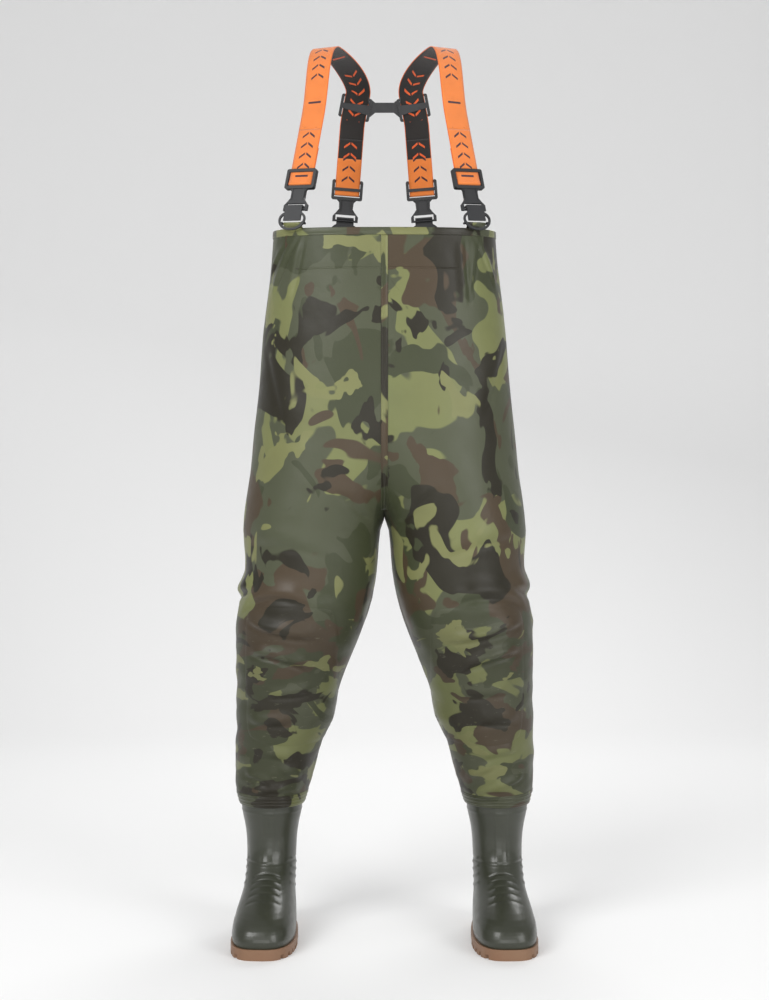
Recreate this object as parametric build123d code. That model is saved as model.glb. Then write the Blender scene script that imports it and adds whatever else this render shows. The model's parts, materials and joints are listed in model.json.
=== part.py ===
"""Chest waders: camouflage PVC bib and legs, welded-on boots, and an H-back suspender set.

Millimetres. The origin is on the floor under the middle of the object, +Z is up and the front
faces -Y, so the wearer's left side is at +X. Every left-hand piece is modelled at +X and the
right-hand piece is its mirror image. While the pieces are made, y = 0 is the middle of the bib;
save() moves them so that y = 0 is the middle of the whole object.
"""

import math
import os
from functools import lru_cache

from build123d import *

# ---------------------------------------------------------------- driving sizes: bib and legs
BIB_FRONT_HEIGHT = 1344.0  # top edge at the middle of the chest
BIB_BACK_HEIGHT = 1372.0  # top edge at the middle of the back
CROTCH_HEIGHT = 806.0
BIB_HALF_WIDTH = 215.0  # at the top edge
CHEST_HALF_WIDTH = 234.0
SEAT_HALF_WIDTH = 273.0
BIB_HALF_DEPTH = 151.0
FABRIC = 2.0  # coated fabric with its backing
SIDE_SEAM_Y = 4.0  # where each front panel meets its back panel

# ---------------------------------------------------------------- driving sizes: trims
HEM_HEIGHT = 13.0
TRIM = 1.0  # thickness of hem band, seam tape, knee patch and boot band
TRIM_GAP = 0.1  # film of weld between each trim and the fabric
SEAM_TAPE_WIDTH = 13.0
KNEE_PATCH_LOW = 380.0
KNEE_PATCH_HIGH = 636.0
KNEE_PATCH_WIDTH = 176.0
KNEE_PATCH_X = 176.0
KNEE_PATCH_CORNER = 24.0
BOOT_BAND_HEIGHT = 26.0
POCKET_TOP_BELOW_BIB = 74.0
POCKET_WIDTH = 296.0
POCKET_DROP = 180.0
POCKET_BULGE = 12.0
POCKET_WALL = 1.2

# ---------------------------------------------------------------- driving sizes: boots
LEG_CENTRE = 220.0  # middle of each boot shaft, from the middle of the object
ANKLE_Y = 12.5
TOE_OUT_DEG = 2.5
SHAFT_TOP = 262.0
SHAFT_HALF_WIDTH = 60.0
SHAFT_HALF_DEPTH = 71.5
FABRIC_OVERLAP = 14.0  # how far the leg fabric reaches down over the shaft
BOOT_WALL = 4.0
FOOT_LENGTH = 292.0
TOE_HALF_WIDTH = 70.0
HEEL_HALF_WIDTH = 41.0
HEEL_BACK_Y = 81.0
SOLE_THICKNESS = 20.0
LUG_HEIGHT = 8.0
LUG_LENGTH = 13.0
LUG_GAP = 8.0
HEEL_CUP_HEIGHT = 38.0
FOXING = 4.0  # how far the outsole stands out from the upper
INSOLE = 5.0
INSOLE_GAP = 1.0

# ---------------------------------------------------------------- driving sizes: suspenders
WEBBING_WIDTH = 50.0
WEBBING = 1.6
SLIDE_GAP = 0.3  # between webbing and each bar it slides on
FRAME_SIDE_GAP = 1.0
FRAME_RAIL = 5.5
BAR_THICKNESS = 2.5
BAR_RADIUS = 2.2  # round hooking bar at the foot of a clip
FRAME_LOW = 42.0  # slider frame, measured up from the hooking bar
FRAME_HIGH = 82.0
FRAME_BAR = 6.0
MIDDLE_BAR_HEIGHT = 63.0
FOLD_ROD_RADIUS = 1.5
NECK_HALF_WIDTH = 14.0
NECK_DEPTH = 8.0
WING_HALF_WIDTH = 26.0
SLOT_HALF_WIDTH = 20.0
SLOT_HEIGHT = 12.0
CLIP_THICKNESS = 4.0
TAIL_TOP = 125.0  # free end of the webbing, up from the hooking bar
RUN_TOP = 164.0  # upper end of the stretch that a clip can take up
STRAIGHT_TOP = 190.0  # each strap leg is straight up to here

RING_GAP = 2.1  # between hooking bar and ring plate
RING_THICKNESS = 3.0
RING_RIM = 4.0
RING_HALF_WIDTH = 28.5
RING_BELOW_PIVOT = 15.0
TONGUE_HALF_WIDTH = 17.5
LIP_GAP = 1.8
PIVOT_BELOW_BAR = 28.0
PIVOT_ABOVE_EDGE = 9.0
PIVOT_RADIUS = 1.8
PIVOT_STAND_OFF = 3.4  # pivot axis in front of the hem
TAB_WIDTH = 38.0
TAB = 1.0
TAB_GAP = 0.3
TAB_LEG = 24.0  # length of each leg inside the bib
TAB_DIP = 5.0  # the legs start this far below the pivot
TAB_CLEAR = 9.4  # from the fabric's inside to the nearer leg, since the wall curves across it

FRONT_RING_X = 170.0
FRONT_FACING_DEG = 27.0
FRONT_LEAN = (-0.168, 0.20, 1.0)
REAR_RING_X = 83.0
REAR_LEAN = (-0.080, -0.100, 1.0)
YOKE_LEAN = (-0.210, -0.250, 1.0)
YOKE_BEND = 12.0
YOKE_HALF_HEIGHT = 23.0
YOKE_BEAM = 20.0
YOKE_BEAM_THICKNESS = 5.0
SHOULDER_RISE = 375.0  # top of the shoulder loop above the bib's front edge
SHOULDER_X = 108.0
SHOULDER_Y = 4.0
SHOULDER_CROSSING = (-0.35, 1.0, 0.0)  # direction of the strap at the top of its loop
YOKE_ARRIVAL = 0.20  # smaller makes the strap turn later above the yoke
STRAP_STEPS = 26

# ---------------------------------------------------------------- body outline
LEG_BOTTOM = SHAFT_TOP - FABRIC_OVERLAP
WELD_GAP = 0.5
ANKLE_HALF_WIDTH = SHAFT_HALF_WIDTH + WELD_GAP + FABRIC
ANKLE_HALF_DEPTH = SHAFT_HALF_DEPTH + WELD_GAP + FABRIC
LOFT_TOP = BIB_BACK_HEIGHT + 30.0
OUTLINE_POINTS = 24
BIG = 4000.0
LOFT_STEP = 34.0  # longest distance between two outlines of the body
BOOT_STEP = 10.0

# share of the way up from crotch to LOFT_TOP, outer edge, how far the two leg tubes have
# parted (0 joined, 1 apart), half depth, squareness of the outline (2 is an ellipse)
TORSO = [
    (1.00, BIB_HALF_WIDTH - 3, 0.00, BIB_HALF_DEPTH - 1, 2.8),
    (0.83, BIB_HALF_WIDTH + 4, 0.00, BIB_HALF_DEPTH + 1, 2.7),
    (0.61, CHEST_HALF_WIDTH, 0.00, BIB_HALF_DEPTH + 4, 2.5),
    (0.43, CHEST_HALF_WIDTH + 9, 0.08, BIB_HALF_DEPTH + 4, 2.3),
    (0.26, SEAT_HALF_WIDTH - 18, 0.30, BIB_HALF_DEPTH + 2, 2.1),
    (0.14, SEAT_HALF_WIDTH - 11, 0.56, BIB_HALF_DEPTH - 1, 2.0),
    (0.057, SEAT_HALF_WIDTH - 4, 0.82, BIB_HALF_DEPTH - 4, 2.0),
    (0.005, SEAT_HALF_WIDTH, 0.985, BIB_HALF_DEPTH - 6, 2.0),
]
# share of the way up from LEG_BOTTOM to the crotch, middle of the leg, half width, middle in Y,
# half depth
LEG = [
    (0.953, 141.5, 133.5, 0.0, 142.0),
    (0.810, 143.0, 128.0, -1.0, 135.0),
    (0.720, 152.0, 128.0, -3.0, 131.0),
    (0.638, 163.0, 125.5, -5.0, 127.0),
    (0.554, 172.0, 116.5, -4.0, 118.0),
    (0.470, 182.0, 107.0, 0.0, 110.0),
    (0.387, 190.0, 99.0, 5.0, 104.0),
    (0.303, 194.0, 94.5, 9.0, 100.0),
    (0.219, 206.0, 84.0, 12.0, 94.0),
    (0.134, 212.5, 78.5, 13.0, 88.0),
    (0.050, LEG_CENTRE - 2, ANKLE_HALF_WIDTH + 7, ANKLE_Y, ANKLE_HALF_DEPTH + 6),
    (0.000, LEG_CENTRE, ANKLE_HALF_WIDTH, ANKLE_Y, ANKLE_HALF_DEPTH),
    (-0.020, LEG_CENTRE, ANKLE_HALF_WIDTH, ANKLE_Y, ANKLE_HALF_DEPTH),
]


def refined(rows, step):
    """Rows interpolated smoothly in height, at most step apart, from rows in height order."""
    slopes = []
    for i in range(len(rows)):
        low = rows[max(i - 1, 0)]
        high = rows[min(i + 1, len(rows) - 1)]
        slopes.append([(b - a) / (high[0] - low[0]) for a, b in zip(low, high)])
    fine = [rows[0]]
    for i in range(len(rows) - 1):
        gap = rows[i + 1][0] - rows[i][0]
        count = math.ceil(abs(gap) / step)
        for k in range(1, count + 1):
            t = k / count
            start = 2 * t**3 - 3 * t**2 + 1
            leave = (t**3 - 2 * t**2 + t) * gap
            arrive = (t**3 - t**2) * gap
            row = []
            for a, b, c, d in zip(rows[i], rows[i + 1], slopes[i], slopes[i + 1]):
                row.append(a * start + b * (1 - start) + c * leave + d * arrive)
            fine.append(tuple(row))
    return fine


@lru_cache(maxsize=None)
def body_rows():
    """Rows of (height, middle x, half width, middle y, half depth, squareness), from the top."""
    rows = []
    for share, outer, parted, half_depth, squareness in TORSO:
        height = CROTCH_HEIGHT + share * (LOFT_TOP - CROTCH_HEIGHT)
        half_width = outer / (1 + parted)
        rows.append((height, outer - half_width, half_width, 0.0, half_depth, squareness))
    for share, middle, half_width, middle_y, half_depth in LEG:
        height = LEG_BOTTOM + share * (CROTCH_HEIGHT - LEG_BOTTOM)
        rows.append((height, middle, half_width, middle_y, half_depth, 2.0))
    return refined(rows, LOFT_STEP)


def closed_outline(height, points):
    """A flat face bounded by a smooth closed curve through the points."""
    return make_face(Spline([(x, y, height) for x, y in points], periodic=True))


def oval(middle_x, half_width, middle_y, half_depth, squareness):
    """Points round an oval that grows squarer as squareness rises."""
    points = []
    for i in range(OUTLINE_POINTS):
        angle = 2 * math.pi * i / OUTLINE_POINTS
        power = 2 / squareness
        across = math.copysign(abs(math.cos(angle)) ** power, math.cos(angle))
        along = math.copysign(abs(math.sin(angle)) ** power, math.sin(angle))
        points.append((middle_x + half_width * across, middle_y + half_depth * along))
    return points


@lru_cache(maxsize=None)
def left_half_solid(offset):
    """The wearer's left half of the body as a solid, its surface moved out by offset."""
    faces = []
    for height, middle, half_width, middle_y, half_depth, squareness in body_rows():
        points = oval(middle, half_width + offset, middle_y, half_depth + offset, squareness)
        faces.append(closed_outline(height, points))
    return loft(faces, ruled=True)


def box(low, high):
    """A box between two corners."""
    size = [b - a for a, b in zip(low, high)]
    centre = [(a + b) / 2 for a, b in zip(low, high)]
    return Pos(*centre) * Box(*size)


def top_plane(drop=0.0):
    """The tilted plane of the bib's top edge, moved down by drop."""
    rise = math.atan2(BIB_BACK_HEIGHT - BIB_FRONT_HEIGHT, 2 * BIB_HALF_DEPTH)
    middle = (BIB_FRONT_HEIGHT + BIB_BACK_HEIGHT) / 2 - drop
    return Plane(origin=(0, 0, middle), z_dir=(0, -math.sin(rise), math.cos(rise)))


def below_top(shape, drop=0.0):
    return split(shape, bisect_by=top_plane(drop), keep=Keep.BOTTOM)


def above_top(shape, drop=0.0):
    return split(shape, bisect_by=top_plane(drop), keep=Keep.TOP)


def left_of_middle(shape):
    return split(shape, bisect_by=Plane.YZ, keep=Keep.TOP)


def mirrored(shape):
    return mirror(shape, about=Plane.YZ)


def skin(inner, outer):
    """The left half's layer between two offsets of its surface, open at the middle plane."""
    return left_of_middle(left_half_solid(outer) - left_half_solid(inner))


# ---------------------------------------------------------------- bib and legs
def body_panels():
    """Front and back panel of the wearer's left side, each from bib edge to boot."""
    side = below_top(skin(-FABRIC, 0.0))
    side = side & box((-1, -BIG, LEG_BOTTOM), (BIG, BIG, BIG))
    seam = Plane(origin=(0, SIDE_SEAM_Y, 0), z_dir=(0, 1, 0))
    front = split(side, bisect_by=seam, keep=Keep.BOTTOM)
    back = split(side, bisect_by=seam, keep=Keep.TOP)
    return front, back


def bib_hem():
    """Welded band round the outside of the bib's top edge."""
    band = above_top(below_top(skin(TRIM_GAP, TRIM)), HEM_HEIGHT)
    return band + mirrored(band)


def centre_seam_tape():
    """Tape over the seam that joins the two halves, front and back, from hem to crotch."""
    reach = box((-1, -BIG, CROTCH_HEIGHT + HEM_HEIGHT), (SEAM_TAPE_WIDTH / 2, BIG, BIG))
    half = below_top(skin(TRIM_GAP, TRIM), HEM_HEIGHT) & reach
    return half + mirrored(half)


def knee_patch():
    """Second layer welded over the front of the knee, with a bowed top edge."""
    height = KNEE_PATCH_HIGH - KNEE_PATCH_LOW
    outline = RectangleRounded(KNEE_PATCH_WIDTH, height, KNEE_PATCH_CORNER)
    middle = (KNEE_PATCH_X, 0, (KNEE_PATCH_LOW + KNEE_PATCH_HIGH) / 2)
    plane = Plane(origin=middle, x_dir=(1, 0, 0), z_dir=(0, -1, 0))
    cutter = extrude(plane * outline, amount=BIG / 4)
    layer = left_half_solid(TRIM) - left_half_solid(TRIM_GAP)
    return layer & cutter


def boot_joint_band():
    """Welded band over the lower end of the leg fabric."""
    layer = left_half_solid(TRIM) - left_half_solid(TRIM_GAP)
    return layer & box((0, -BIG, LEG_BOTTOM), (BIG, BIG, LEG_BOTTOM + BOOT_BAND_HEIGHT))


def inner_pocket():
    """Bag that hangs inside the bib's front, open at its top."""
    top = BIB_FRONT_HEIGHT - POCKET_TOP_BELOW_BIB
    low = top - POCKET_DROP
    half = POCKET_WIDTH / 2
    bag = skin(-FABRIC - POCKET_BULGE, -FABRIC - WELD_GAP)
    bag = bag & box((-1, -BIG, low), (half, 0, top))
    room = skin(-FABRIC - POCKET_BULGE + POCKET_WALL, -FABRIC - WELD_GAP - POCKET_WALL)
    room = room & box((-1, -BIG, low + POCKET_WALL), (half - POCKET_WALL, 0, BIG))
    side = bag - room
    return side + mirrored(side)


# ---------------------------------------------------------------- boots
SOLE_TOE_Y = HEEL_BACK_Y - FOOT_LENGTH
SHAFT_FRONT_Y = ANKLE_Y - SHAFT_HALF_DEPTH
SHAFT_BACK_Y = ANKLE_Y + SHAFT_HALF_DEPTH
# height, front, back, half width at the toe end, half width at the heel end, and a power that
# is 1 for a round plan and smaller for a fuller one
BOOT = [
    (SOLE_THICKNESS, SOLE_TOE_Y, HEEL_BACK_Y, TOE_HALF_WIDTH - 1, HEEL_HALF_WIDTH - 1, 0.65),
    (32.0, SOLE_TOE_Y - 1, HEEL_BACK_Y + 1, TOE_HALF_WIDTH, HEEL_HALF_WIDTH, 0.65),
    (50.0, SOLE_TOE_Y + 6, HEEL_BACK_Y + 2, TOE_HALF_WIDTH - 3, HEEL_HALF_WIDTH + 2, 0.68),
    (66.0, SOLE_TOE_Y + 24, HEEL_BACK_Y, TOE_HALF_WIDTH - 8, HEEL_HALF_WIDTH + 4, 0.74),
    (82.0, SOLE_TOE_Y + 56, HEEL_BACK_Y - 3, TOE_HALF_WIDTH - 15, HEEL_HALF_WIDTH + 5, 0.80),
    (100.0, SHAFT_FRONT_Y - 56, HEEL_BACK_Y - 6, 49.0, 47.0, 0.88),
    (120.0, SHAFT_FRONT_Y - 23, HEEL_BACK_Y - 7, 47.5, 47.5, 0.95),
    (150.0, SHAFT_FRONT_Y - 1, HEEL_BACK_Y - 7, 47.5, 47.5, 1.0),
    (183.0, SHAFT_FRONT_Y + 5, HEEL_BACK_Y - 6, 49.0, 49.0, 1.0),
    (206.0, SHAFT_FRONT_Y + 4, SHAFT_BACK_Y - 6, SHAFT_HALF_WIDTH - 8, SHAFT_HALF_WIDTH - 8, 1.0),
    (235.0, SHAFT_FRONT_Y + 1, SHAFT_BACK_Y - 1, SHAFT_HALF_WIDTH - 2, SHAFT_HALF_WIDTH - 2, 1.0),
    (SHAFT_TOP, SHAFT_FRONT_Y, SHAFT_BACK_Y, SHAFT_HALF_WIDTH, SHAFT_HALF_WIDTH, 1.0),
]


def foot_outline(front, back, toe_half, heel_half, power, offset=0.0):
    """Points round a footprint that is wider at its toe end."""
    length = back - front + 2 * offset
    middle = (front + back) / 2
    points = []
    for i in range(OUTLINE_POINTS):
        angle = 2 * math.pi * i / OUTLINE_POINTS
        toe_share = (1 - math.cos(angle)) / 2
        half = heel_half + (toe_half - heel_half) * toe_share + offset
        fullness = abs(math.sin(angle)) ** power
        across = math.copysign(half * fullness, math.sin(angle))
        points.append((across, middle + length / 2 * math.cos(angle)))
    return points


@lru_cache(maxsize=None)
def boot_solid(offset, low, high):
    """The boot's outer shape moved by offset, between two heights."""
    faces = []
    for height, *outline in refined(BOOT, BOOT_STEP):
        points = foot_outline(*outline, offset)
        if height == SOLE_THICKNESS:
            height = low
        if height == SHAFT_TOP:
            height = high
        faces.append(closed_outline(height, points))
    return loft(faces, ruled=True)


def placed_boot(shape):
    """Move a boot piece from the middle plane to the wearer's left foot, toe turned out."""
    turn = Pos(LEG_CENTRE, ANKLE_Y, 0) * Rot(0, 0, TOE_OUT_DEG) * Pos(0, -ANKLE_Y, 0)
    return turn * shape


def boot_upper():
    """Moulded boot from sole to shaft top, hollow and open at its top."""
    outside = boot_solid(0.0, SOLE_THICKNESS, SHAFT_TOP)
    inside = boot_solid(-BOOT_WALL, SOLE_THICKNESS + BOOT_WALL, SHAFT_TOP + 1)
    return placed_boot(outside - inside)


def footprint(offset):
    points = foot_outline(*BOOT[0][1:], offset)
    return closed_outline(0, points)


def outsole():
    """Outsole with cross lugs under the forefoot, a grooved heel and a raised heel cup."""
    plan = footprint(FOXING)
    sole = Pos(0, 0, LUG_HEIGHT) * extrude(plan, amount=SOLE_THICKNESS - LUG_HEIGHT)
    tread = extrude(plan, amount=LUG_HEIGHT)
    pitch = LUG_LENGTH + LUG_GAP
    bars = []
    for i in range(6):
        start = SOLE_TOE_Y - FOXING + i * pitch
        bars.append(box((-BIG, start, 0), (BIG, start + LUG_LENGTH, LUG_HEIGHT)))
    for i in range(4):
        end = HEEL_BACK_Y + FOXING - i * (LUG_LENGTH + LUG_GAP / 2)
        bars.append(box((-BIG, end - LUG_LENGTH, 0), (BIG, end, LUG_HEIGHT)))
    for bar in bars:
        sole += tread & bar
    heel_front = HEEL_BACK_Y - 4 * LUG_LENGTH - 3 * LUG_GAP / 2
    cup = Pos(0, 0, SOLE_THICKNESS) * extrude(plan, amount=HEEL_CUP_HEIGHT - SOLE_THICKNESS)
    cup = cup & box((-BIG, heel_front, SOLE_THICKNESS), (BIG, BIG, HEEL_CUP_HEIGHT))
    return placed_boot(sole + (cup - boot_solid(0.0, SOLE_THICKNESS, SHAFT_TOP)))


def insole():
    """Loose felt insole that lies in the boot."""
    plan = footprint(-BOOT_WALL - INSOLE_GAP - 1)
    return placed_boot(Pos(0, 0, SOLE_THICKNESS + BOOT_WALL) * extrude(plan, amount=INSOLE))


# ---------------------------------------------------------------- hardware frames
class Seat:
    """Where one ring and clip sit: pivot is the ring's axis and bar the clip's hooking bar.

    across, up and out are the hardware's own directions.
    """

    def __init__(self, surface, lean, facing):
        self.up = Vector(*lean).normalized()
        flat = Vector(*facing)
        self.out = (flat - self.up * flat.dot(self.up)).normalized()
        self.across = self.up.cross(self.out)
        self.pivot = Vector(*surface) + flat.normalized() * (TRIM + PIVOT_STAND_OFF)
        self.bar = self.pivot + self.up * PIVOT_BELOW_BAR

    def plane(self, up=0.0, out=0.0):
        """Drawing plane at a place up and out from the hooking bar."""
        origin = self.bar + self.up * up + self.out * out
        return Plane(origin=origin, x_dir=self.across, z_dir=self.out)

    def side_plane(self):
        """Plane across the webbing: its x is outward and its y is up."""
        return Plane(origin=self.bar, x_dir=self.out, z_dir=self.across * -1)

    def along(self, up):
        return self.bar + self.up * up


def edge_height(y):
    """Height of the bib's top edge at a distance y from the middle."""
    slope = (BIB_BACK_HEIGHT - BIB_FRONT_HEIGHT) / (2 * BIB_HALF_DEPTH)
    return (BIB_FRONT_HEIGHT + BIB_BACK_HEIGHT) / 2 + slope * y


def surface_depth(x):
    """Distance of the bib's outside from the middle plane at its top edge, at this x."""
    squareness = 2.75
    return BIB_HALF_DEPTH * (1 - (x / BIB_HALF_WIDTH) ** squareness) ** (1 / squareness)


def front_seat():
    depth = surface_depth(FRONT_RING_X)
    turn = math.radians(FRONT_FACING_DEG)
    surface = (FRONT_RING_X, -depth, edge_height(-depth) + PIVOT_ABOVE_EDGE)
    return Seat(surface, FRONT_LEAN, (math.sin(turn), -math.cos(turn), 0))


def rear_seat():
    depth = surface_depth(REAR_RING_X)
    surface = (REAR_RING_X, depth, edge_height(depth) + PIVOT_ABOVE_EDGE)
    return Seat(surface, REAR_LEAN, (0, 1, 0))


FRONT = front_seat()
REAR = rear_seat()


def slab(seat, outline, inner, outer):
    """Extrude a drawing in the across-up plane between two distances outward."""
    return extrude(seat.plane(out=inner) * outline, amount=outer - inner)


def block(across, up, centre_up):
    """A rectangle centred on the middle line at a height above the hooking bar."""
    return Pos(0, centre_up) * Rectangle(across, up)


# ---------------------------------------------------------------- clip
HALF_WEB = WEBBING / 2
TAIL_OUT = -(WEBBING + SLIDE_GAP)  # middle of the turned-up webbing
TOP_BAR_IN = HALF_WEB + SLIDE_GAP
MIDDLE_BAR_OUT = TAIL_OUT - HALF_WEB - SLIDE_GAP
FRAME_OUT = TOP_BAR_IN + BAR_THICKNESS
FRAME_IN = MIDDLE_BAR_OUT - BAR_THICKNESS
WINDOW = WEBBING_WIDTH + 2 * FRAME_SIDE_GAP
FRAME_WIDTH = WINDOW + 2 * FRAME_RAIL
FOLD_HEIGHT = FRAME_LOW + FRAME_BAR + FOLD_ROD_RADIUS + WEBBING + 1.0
FOLD_OUT = TAIL_OUT / 2


def rod(seat, up, out, radius, length):
    """A round rod along the across direction."""
    origin = seat.bar + seat.up * up + seat.out * out - seat.across * (length / 2)
    return extrude(Plane(origin=origin, z_dir=seat.across) * Circle(radius), amount=length)


def clip(seat):
    """One moulding: slider frame, neck, wings and the round hooking bar."""
    middle = (FRAME_LOW + FRAME_HIGH) / 2
    tall = FRAME_HIGH - FRAME_LOW
    frame = Pos(0, middle) * RectangleRounded(FRAME_WIDTH, tall, 4)
    window = block(WINDOW, tall, FRAME_LOW + FRAME_BAR + tall / 2)
    body = slab(seat, frame - window, FRAME_IN, FRAME_OUT)
    top_bar = block(WINDOW + 2, FRAME_BAR, FRAME_HIGH - FRAME_BAR / 2)
    body += slab(seat, top_bar, TOP_BAR_IN, FRAME_OUT)
    middle_bar = block(WINDOW + 2, FRAME_BAR, MIDDLE_BAR_HEIGHT)
    body += slab(seat, middle_bar, FRAME_IN, MIDDLE_BAR_OUT)
    body += rod(seat, FOLD_HEIGHT, FOLD_OUT, FOLD_ROD_RADIUS, WINDOW + 2)
    half = CLIP_THICKNESS / 2
    wing = WING_HALF_WIDTH
    neck = NECK_HALF_WIDTH
    foot = Polyline(
        (-wing, -BAR_RADIUS), (-wing, SLOT_HEIGHT - 3), (-neck - 5, SLOT_HEIGHT + 5),
        (-neck, SLOT_HEIGHT + 12), (-neck - 1, FRAME_LOW - 5), (-neck - 7, FRAME_LOW + 1),
        (neck + 7, FRAME_LOW + 1), (neck + 1, FRAME_LOW - 5), (neck, SLOT_HEIGHT + 12),
        (neck + 5, SLOT_HEIGHT + 5), (wing, SLOT_HEIGHT - 3), (wing, -BAR_RADIUS), close=True,
    )
    slot = block(2 * SLOT_HALF_WIDTH, SLOT_HEIGHT + BAR_RADIUS, (SLOT_HEIGHT - BAR_RADIUS) / 2)
    body += slab(seat, make_face(foot) - slot, -half, half)
    flange_low = SLOT_HEIGHT + 8
    flange = block(3, FRAME_LOW - flange_low, (FRAME_LOW + flange_low) / 2)
    for side in (-1, 1):
        body += slab(seat, Pos(side * (neck - 1.5), 0) * flange, half - NECK_DEPTH, half + 1)
    body += rod(seat, 0, 0, BAR_RADIUS, 2 * wing - 2)
    return body


def webbing_end(seat):
    """Webbing folded round the clip's rod, with its free end turned up on the inside."""
    reach = FOLD_ROD_RADIUS + 0.15 + HALF_WEB
    settle = FOLD_HEIGHT + 9
    down = Line((0, FRAME_HIGH + 0.5), (0, settle))
    down += Spline((0, settle), (FOLD_OUT + reach, FOLD_HEIGHT), tangents=((0, -1), (0, -1)))
    turn = CenterArc((FOLD_OUT, FOLD_HEIGHT), reach, 0, -180)
    rise = Spline((FOLD_OUT - reach, FOLD_HEIGHT), (TAIL_OUT, settle), tangents=((0, 1), (0, 1)))
    free = Line((TAIL_OUT, settle), (TAIL_OUT, TAIL_TOP))
    strip = trace(Curve() + [down, turn, rise, free], line_width=WEBBING)
    return extrude(seat.side_plane() * strip, amount=WEBBING_WIDTH / 2, both=True)


def webbing_run(seat):
    """The straight stretch of webbing above a clip, which the clip takes up as it slides."""
    low = FRAME_HIGH + 0.5
    strip = block(WEBBING_WIDTH, RUN_TOP - low, (RUN_TOP + low) / 2)
    return slab(seat, strip, -HALF_WEB, HALF_WEB)


# ---------------------------------------------------------------- ring and tab
PLATE_IN = BAR_RADIUS + RING_GAP
PLATE_OUT = PLATE_IN + RING_THICKNESS
LIP_LOW = BAR_RADIUS + LIP_GAP
LIP_HIGH = LIP_LOW + RING_THICKNESS


def rim_outline(inset):
    """The ring's rounded lower outline, drawn in by inset."""
    half = RING_HALF_WIDTH - inset
    low = -PIVOT_BELOW_BAR - RING_BELOW_PIVOT + inset
    top = -7.0 - inset
    shoulder = TONGUE_HALF_WIDTH - inset
    right = [(half, -PIVOT_BELOW_BAR + 4), (half * 0.72, low + 5.5)]
    left = [(-x, y) for x, y in reversed(right)]
    curve = Spline((shoulder, top), *right, (0, low), *left, (-shoulder, top))
    return make_face(curve + Line((-shoulder, top), (shoulder, top)))


def ring(seat):
    """Hook ring: a plate with a lip over the clip's bar, a rim round it and a rear pivot bar."""
    plate_top = LIP_HIGH
    plate_low = -PIVOT_BELOW_BAR + 4
    plate = Polyline(
        (-TONGUE_HALF_WIDTH, plate_top), (TONGUE_HALF_WIDTH, plate_top),
        (TONGUE_HALF_WIDTH + 1, plate_low), (-TONGUE_HALF_WIDTH - 1, plate_low), close=True,
    )
    shape = (rim_outline(0) - rim_outline(RING_RIM)) + make_face(plate)
    body = slab(seat, shape, PLATE_IN, PLATE_OUT)
    lip = block(2 * TONGUE_HALF_WIDTH, RING_THICKNESS, (LIP_LOW + LIP_HIGH) / 2)
    body += slab(seat, lip, -BAR_RADIUS - 1, PLATE_OUT)
    lug_in = TAB_WIDTH / 2 + TAB_GAP + 1
    lug_out = RING_HALF_WIDTH - 1
    lug = Rectangle(lug_out - lug_in, 2 * PIVOT_RADIUS)
    for side in (-1, 1):
        place = Pos(side * (lug_in + lug_out) / 2, -PIVOT_BELOW_BAR)
        body += slab(seat, place * lug, 0, PLATE_IN + 1)
    body += rod(seat, -PIVOT_BELOW_BAR, 0, PIVOT_RADIUS, 2 * lug_out)
    return body


def touch(centre, point, radius, turn):
    """Where a straight line from point touches the circle round centre."""
    away = point - centre
    angle = math.atan2(away.Y, away.X) + turn * math.acos(radius / away.length)
    return centre + Vector(math.cos(angle), math.sin(angle)) * radius


def band(start, end):
    """Strip of the tab's thickness from start to end, rounded where it ends."""
    along = (end - start).normalized()
    side = Vector(-along.Y, along.X) * (TAB / 2)
    corners = [start + side, end + side, end - side, start - side]
    face = make_face(Polyline(*[(c.X, c.Y) for c in corners], close=True))
    return face + Pos(end.X, end.Y) * Circle(TAB / 2)


def tab(seat):
    """Strip looped round the ring's pivot bar, its two legs hanging flat inside the bib."""
    reach = PIVOT_RADIUS + TAB_GAP + TAB / 2
    step = TAB + TAB_GAP
    centre = Vector(0, -PIVOT_BELOW_BAR)
    fall = Vector(-seat.out.Z / seat.up.Z, -1)
    outer_x = -PIVOT_STAND_OFF - TRIM - FABRIC - TAB / 2 - TAB_CLEAR
    outer_top = Vector(outer_x, centre.Y - TAB_DIP)
    inner_top = outer_top + Vector(-step, step)
    low = touch(centre, outer_top, reach, 1)
    high = touch(centre, inner_top, reach, -1)
    far = 8.0
    middle = centre + (outer_top - centre).normalized() * reach * far
    gap = [centre, centre + (low - centre) * far, middle, centre + (high - centre) * far]
    opening = make_face(Polyline(*[(c.X, c.Y) for c in gap], close=True))
    hoop = Pos(centre.X, centre.Y) * (Circle(reach + TAB / 2) - Circle(reach - TAB / 2))
    strip = (hoop - opening) + band(low, outer_top) + band(outer_top, outer_top + fall * TAB_LEG)
    strip += band(high, inner_top) + band(inner_top, inner_top + fall * (TAB_LEG + step))
    return extrude(seat.side_plane() * strip, amount=TAB_WIDTH / 2, both=True)


# ---------------------------------------------------------------- straps and yoke
def yoke_seat():
    """The strap's straight passage through the yoke, above the rear straight stretch."""
    up = Vector(*YOKE_LEAN).normalized()
    bend = (up + REAR.up).normalized()
    centre = REAR.along(STRAIGHT_TOP) + bend * YOKE_BEND + up * (YOKE_HALF_HEIGHT + 3)
    out = (Vector(0, 1, 0) - up * up.Y).normalized()
    return centre, up, out


YOKE_CENTRE, YOKE_UP, YOKE_OUT = yoke_seat()


def bend_between(start, leaving, end, arriving, arrival=0.37):
    """A smooth curve that leaves and arrives in the given directions."""
    span = (end - start).length
    return Bezier(start, start + leaving * span * 0.40, end - arriving * span * arrival, end)


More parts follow.
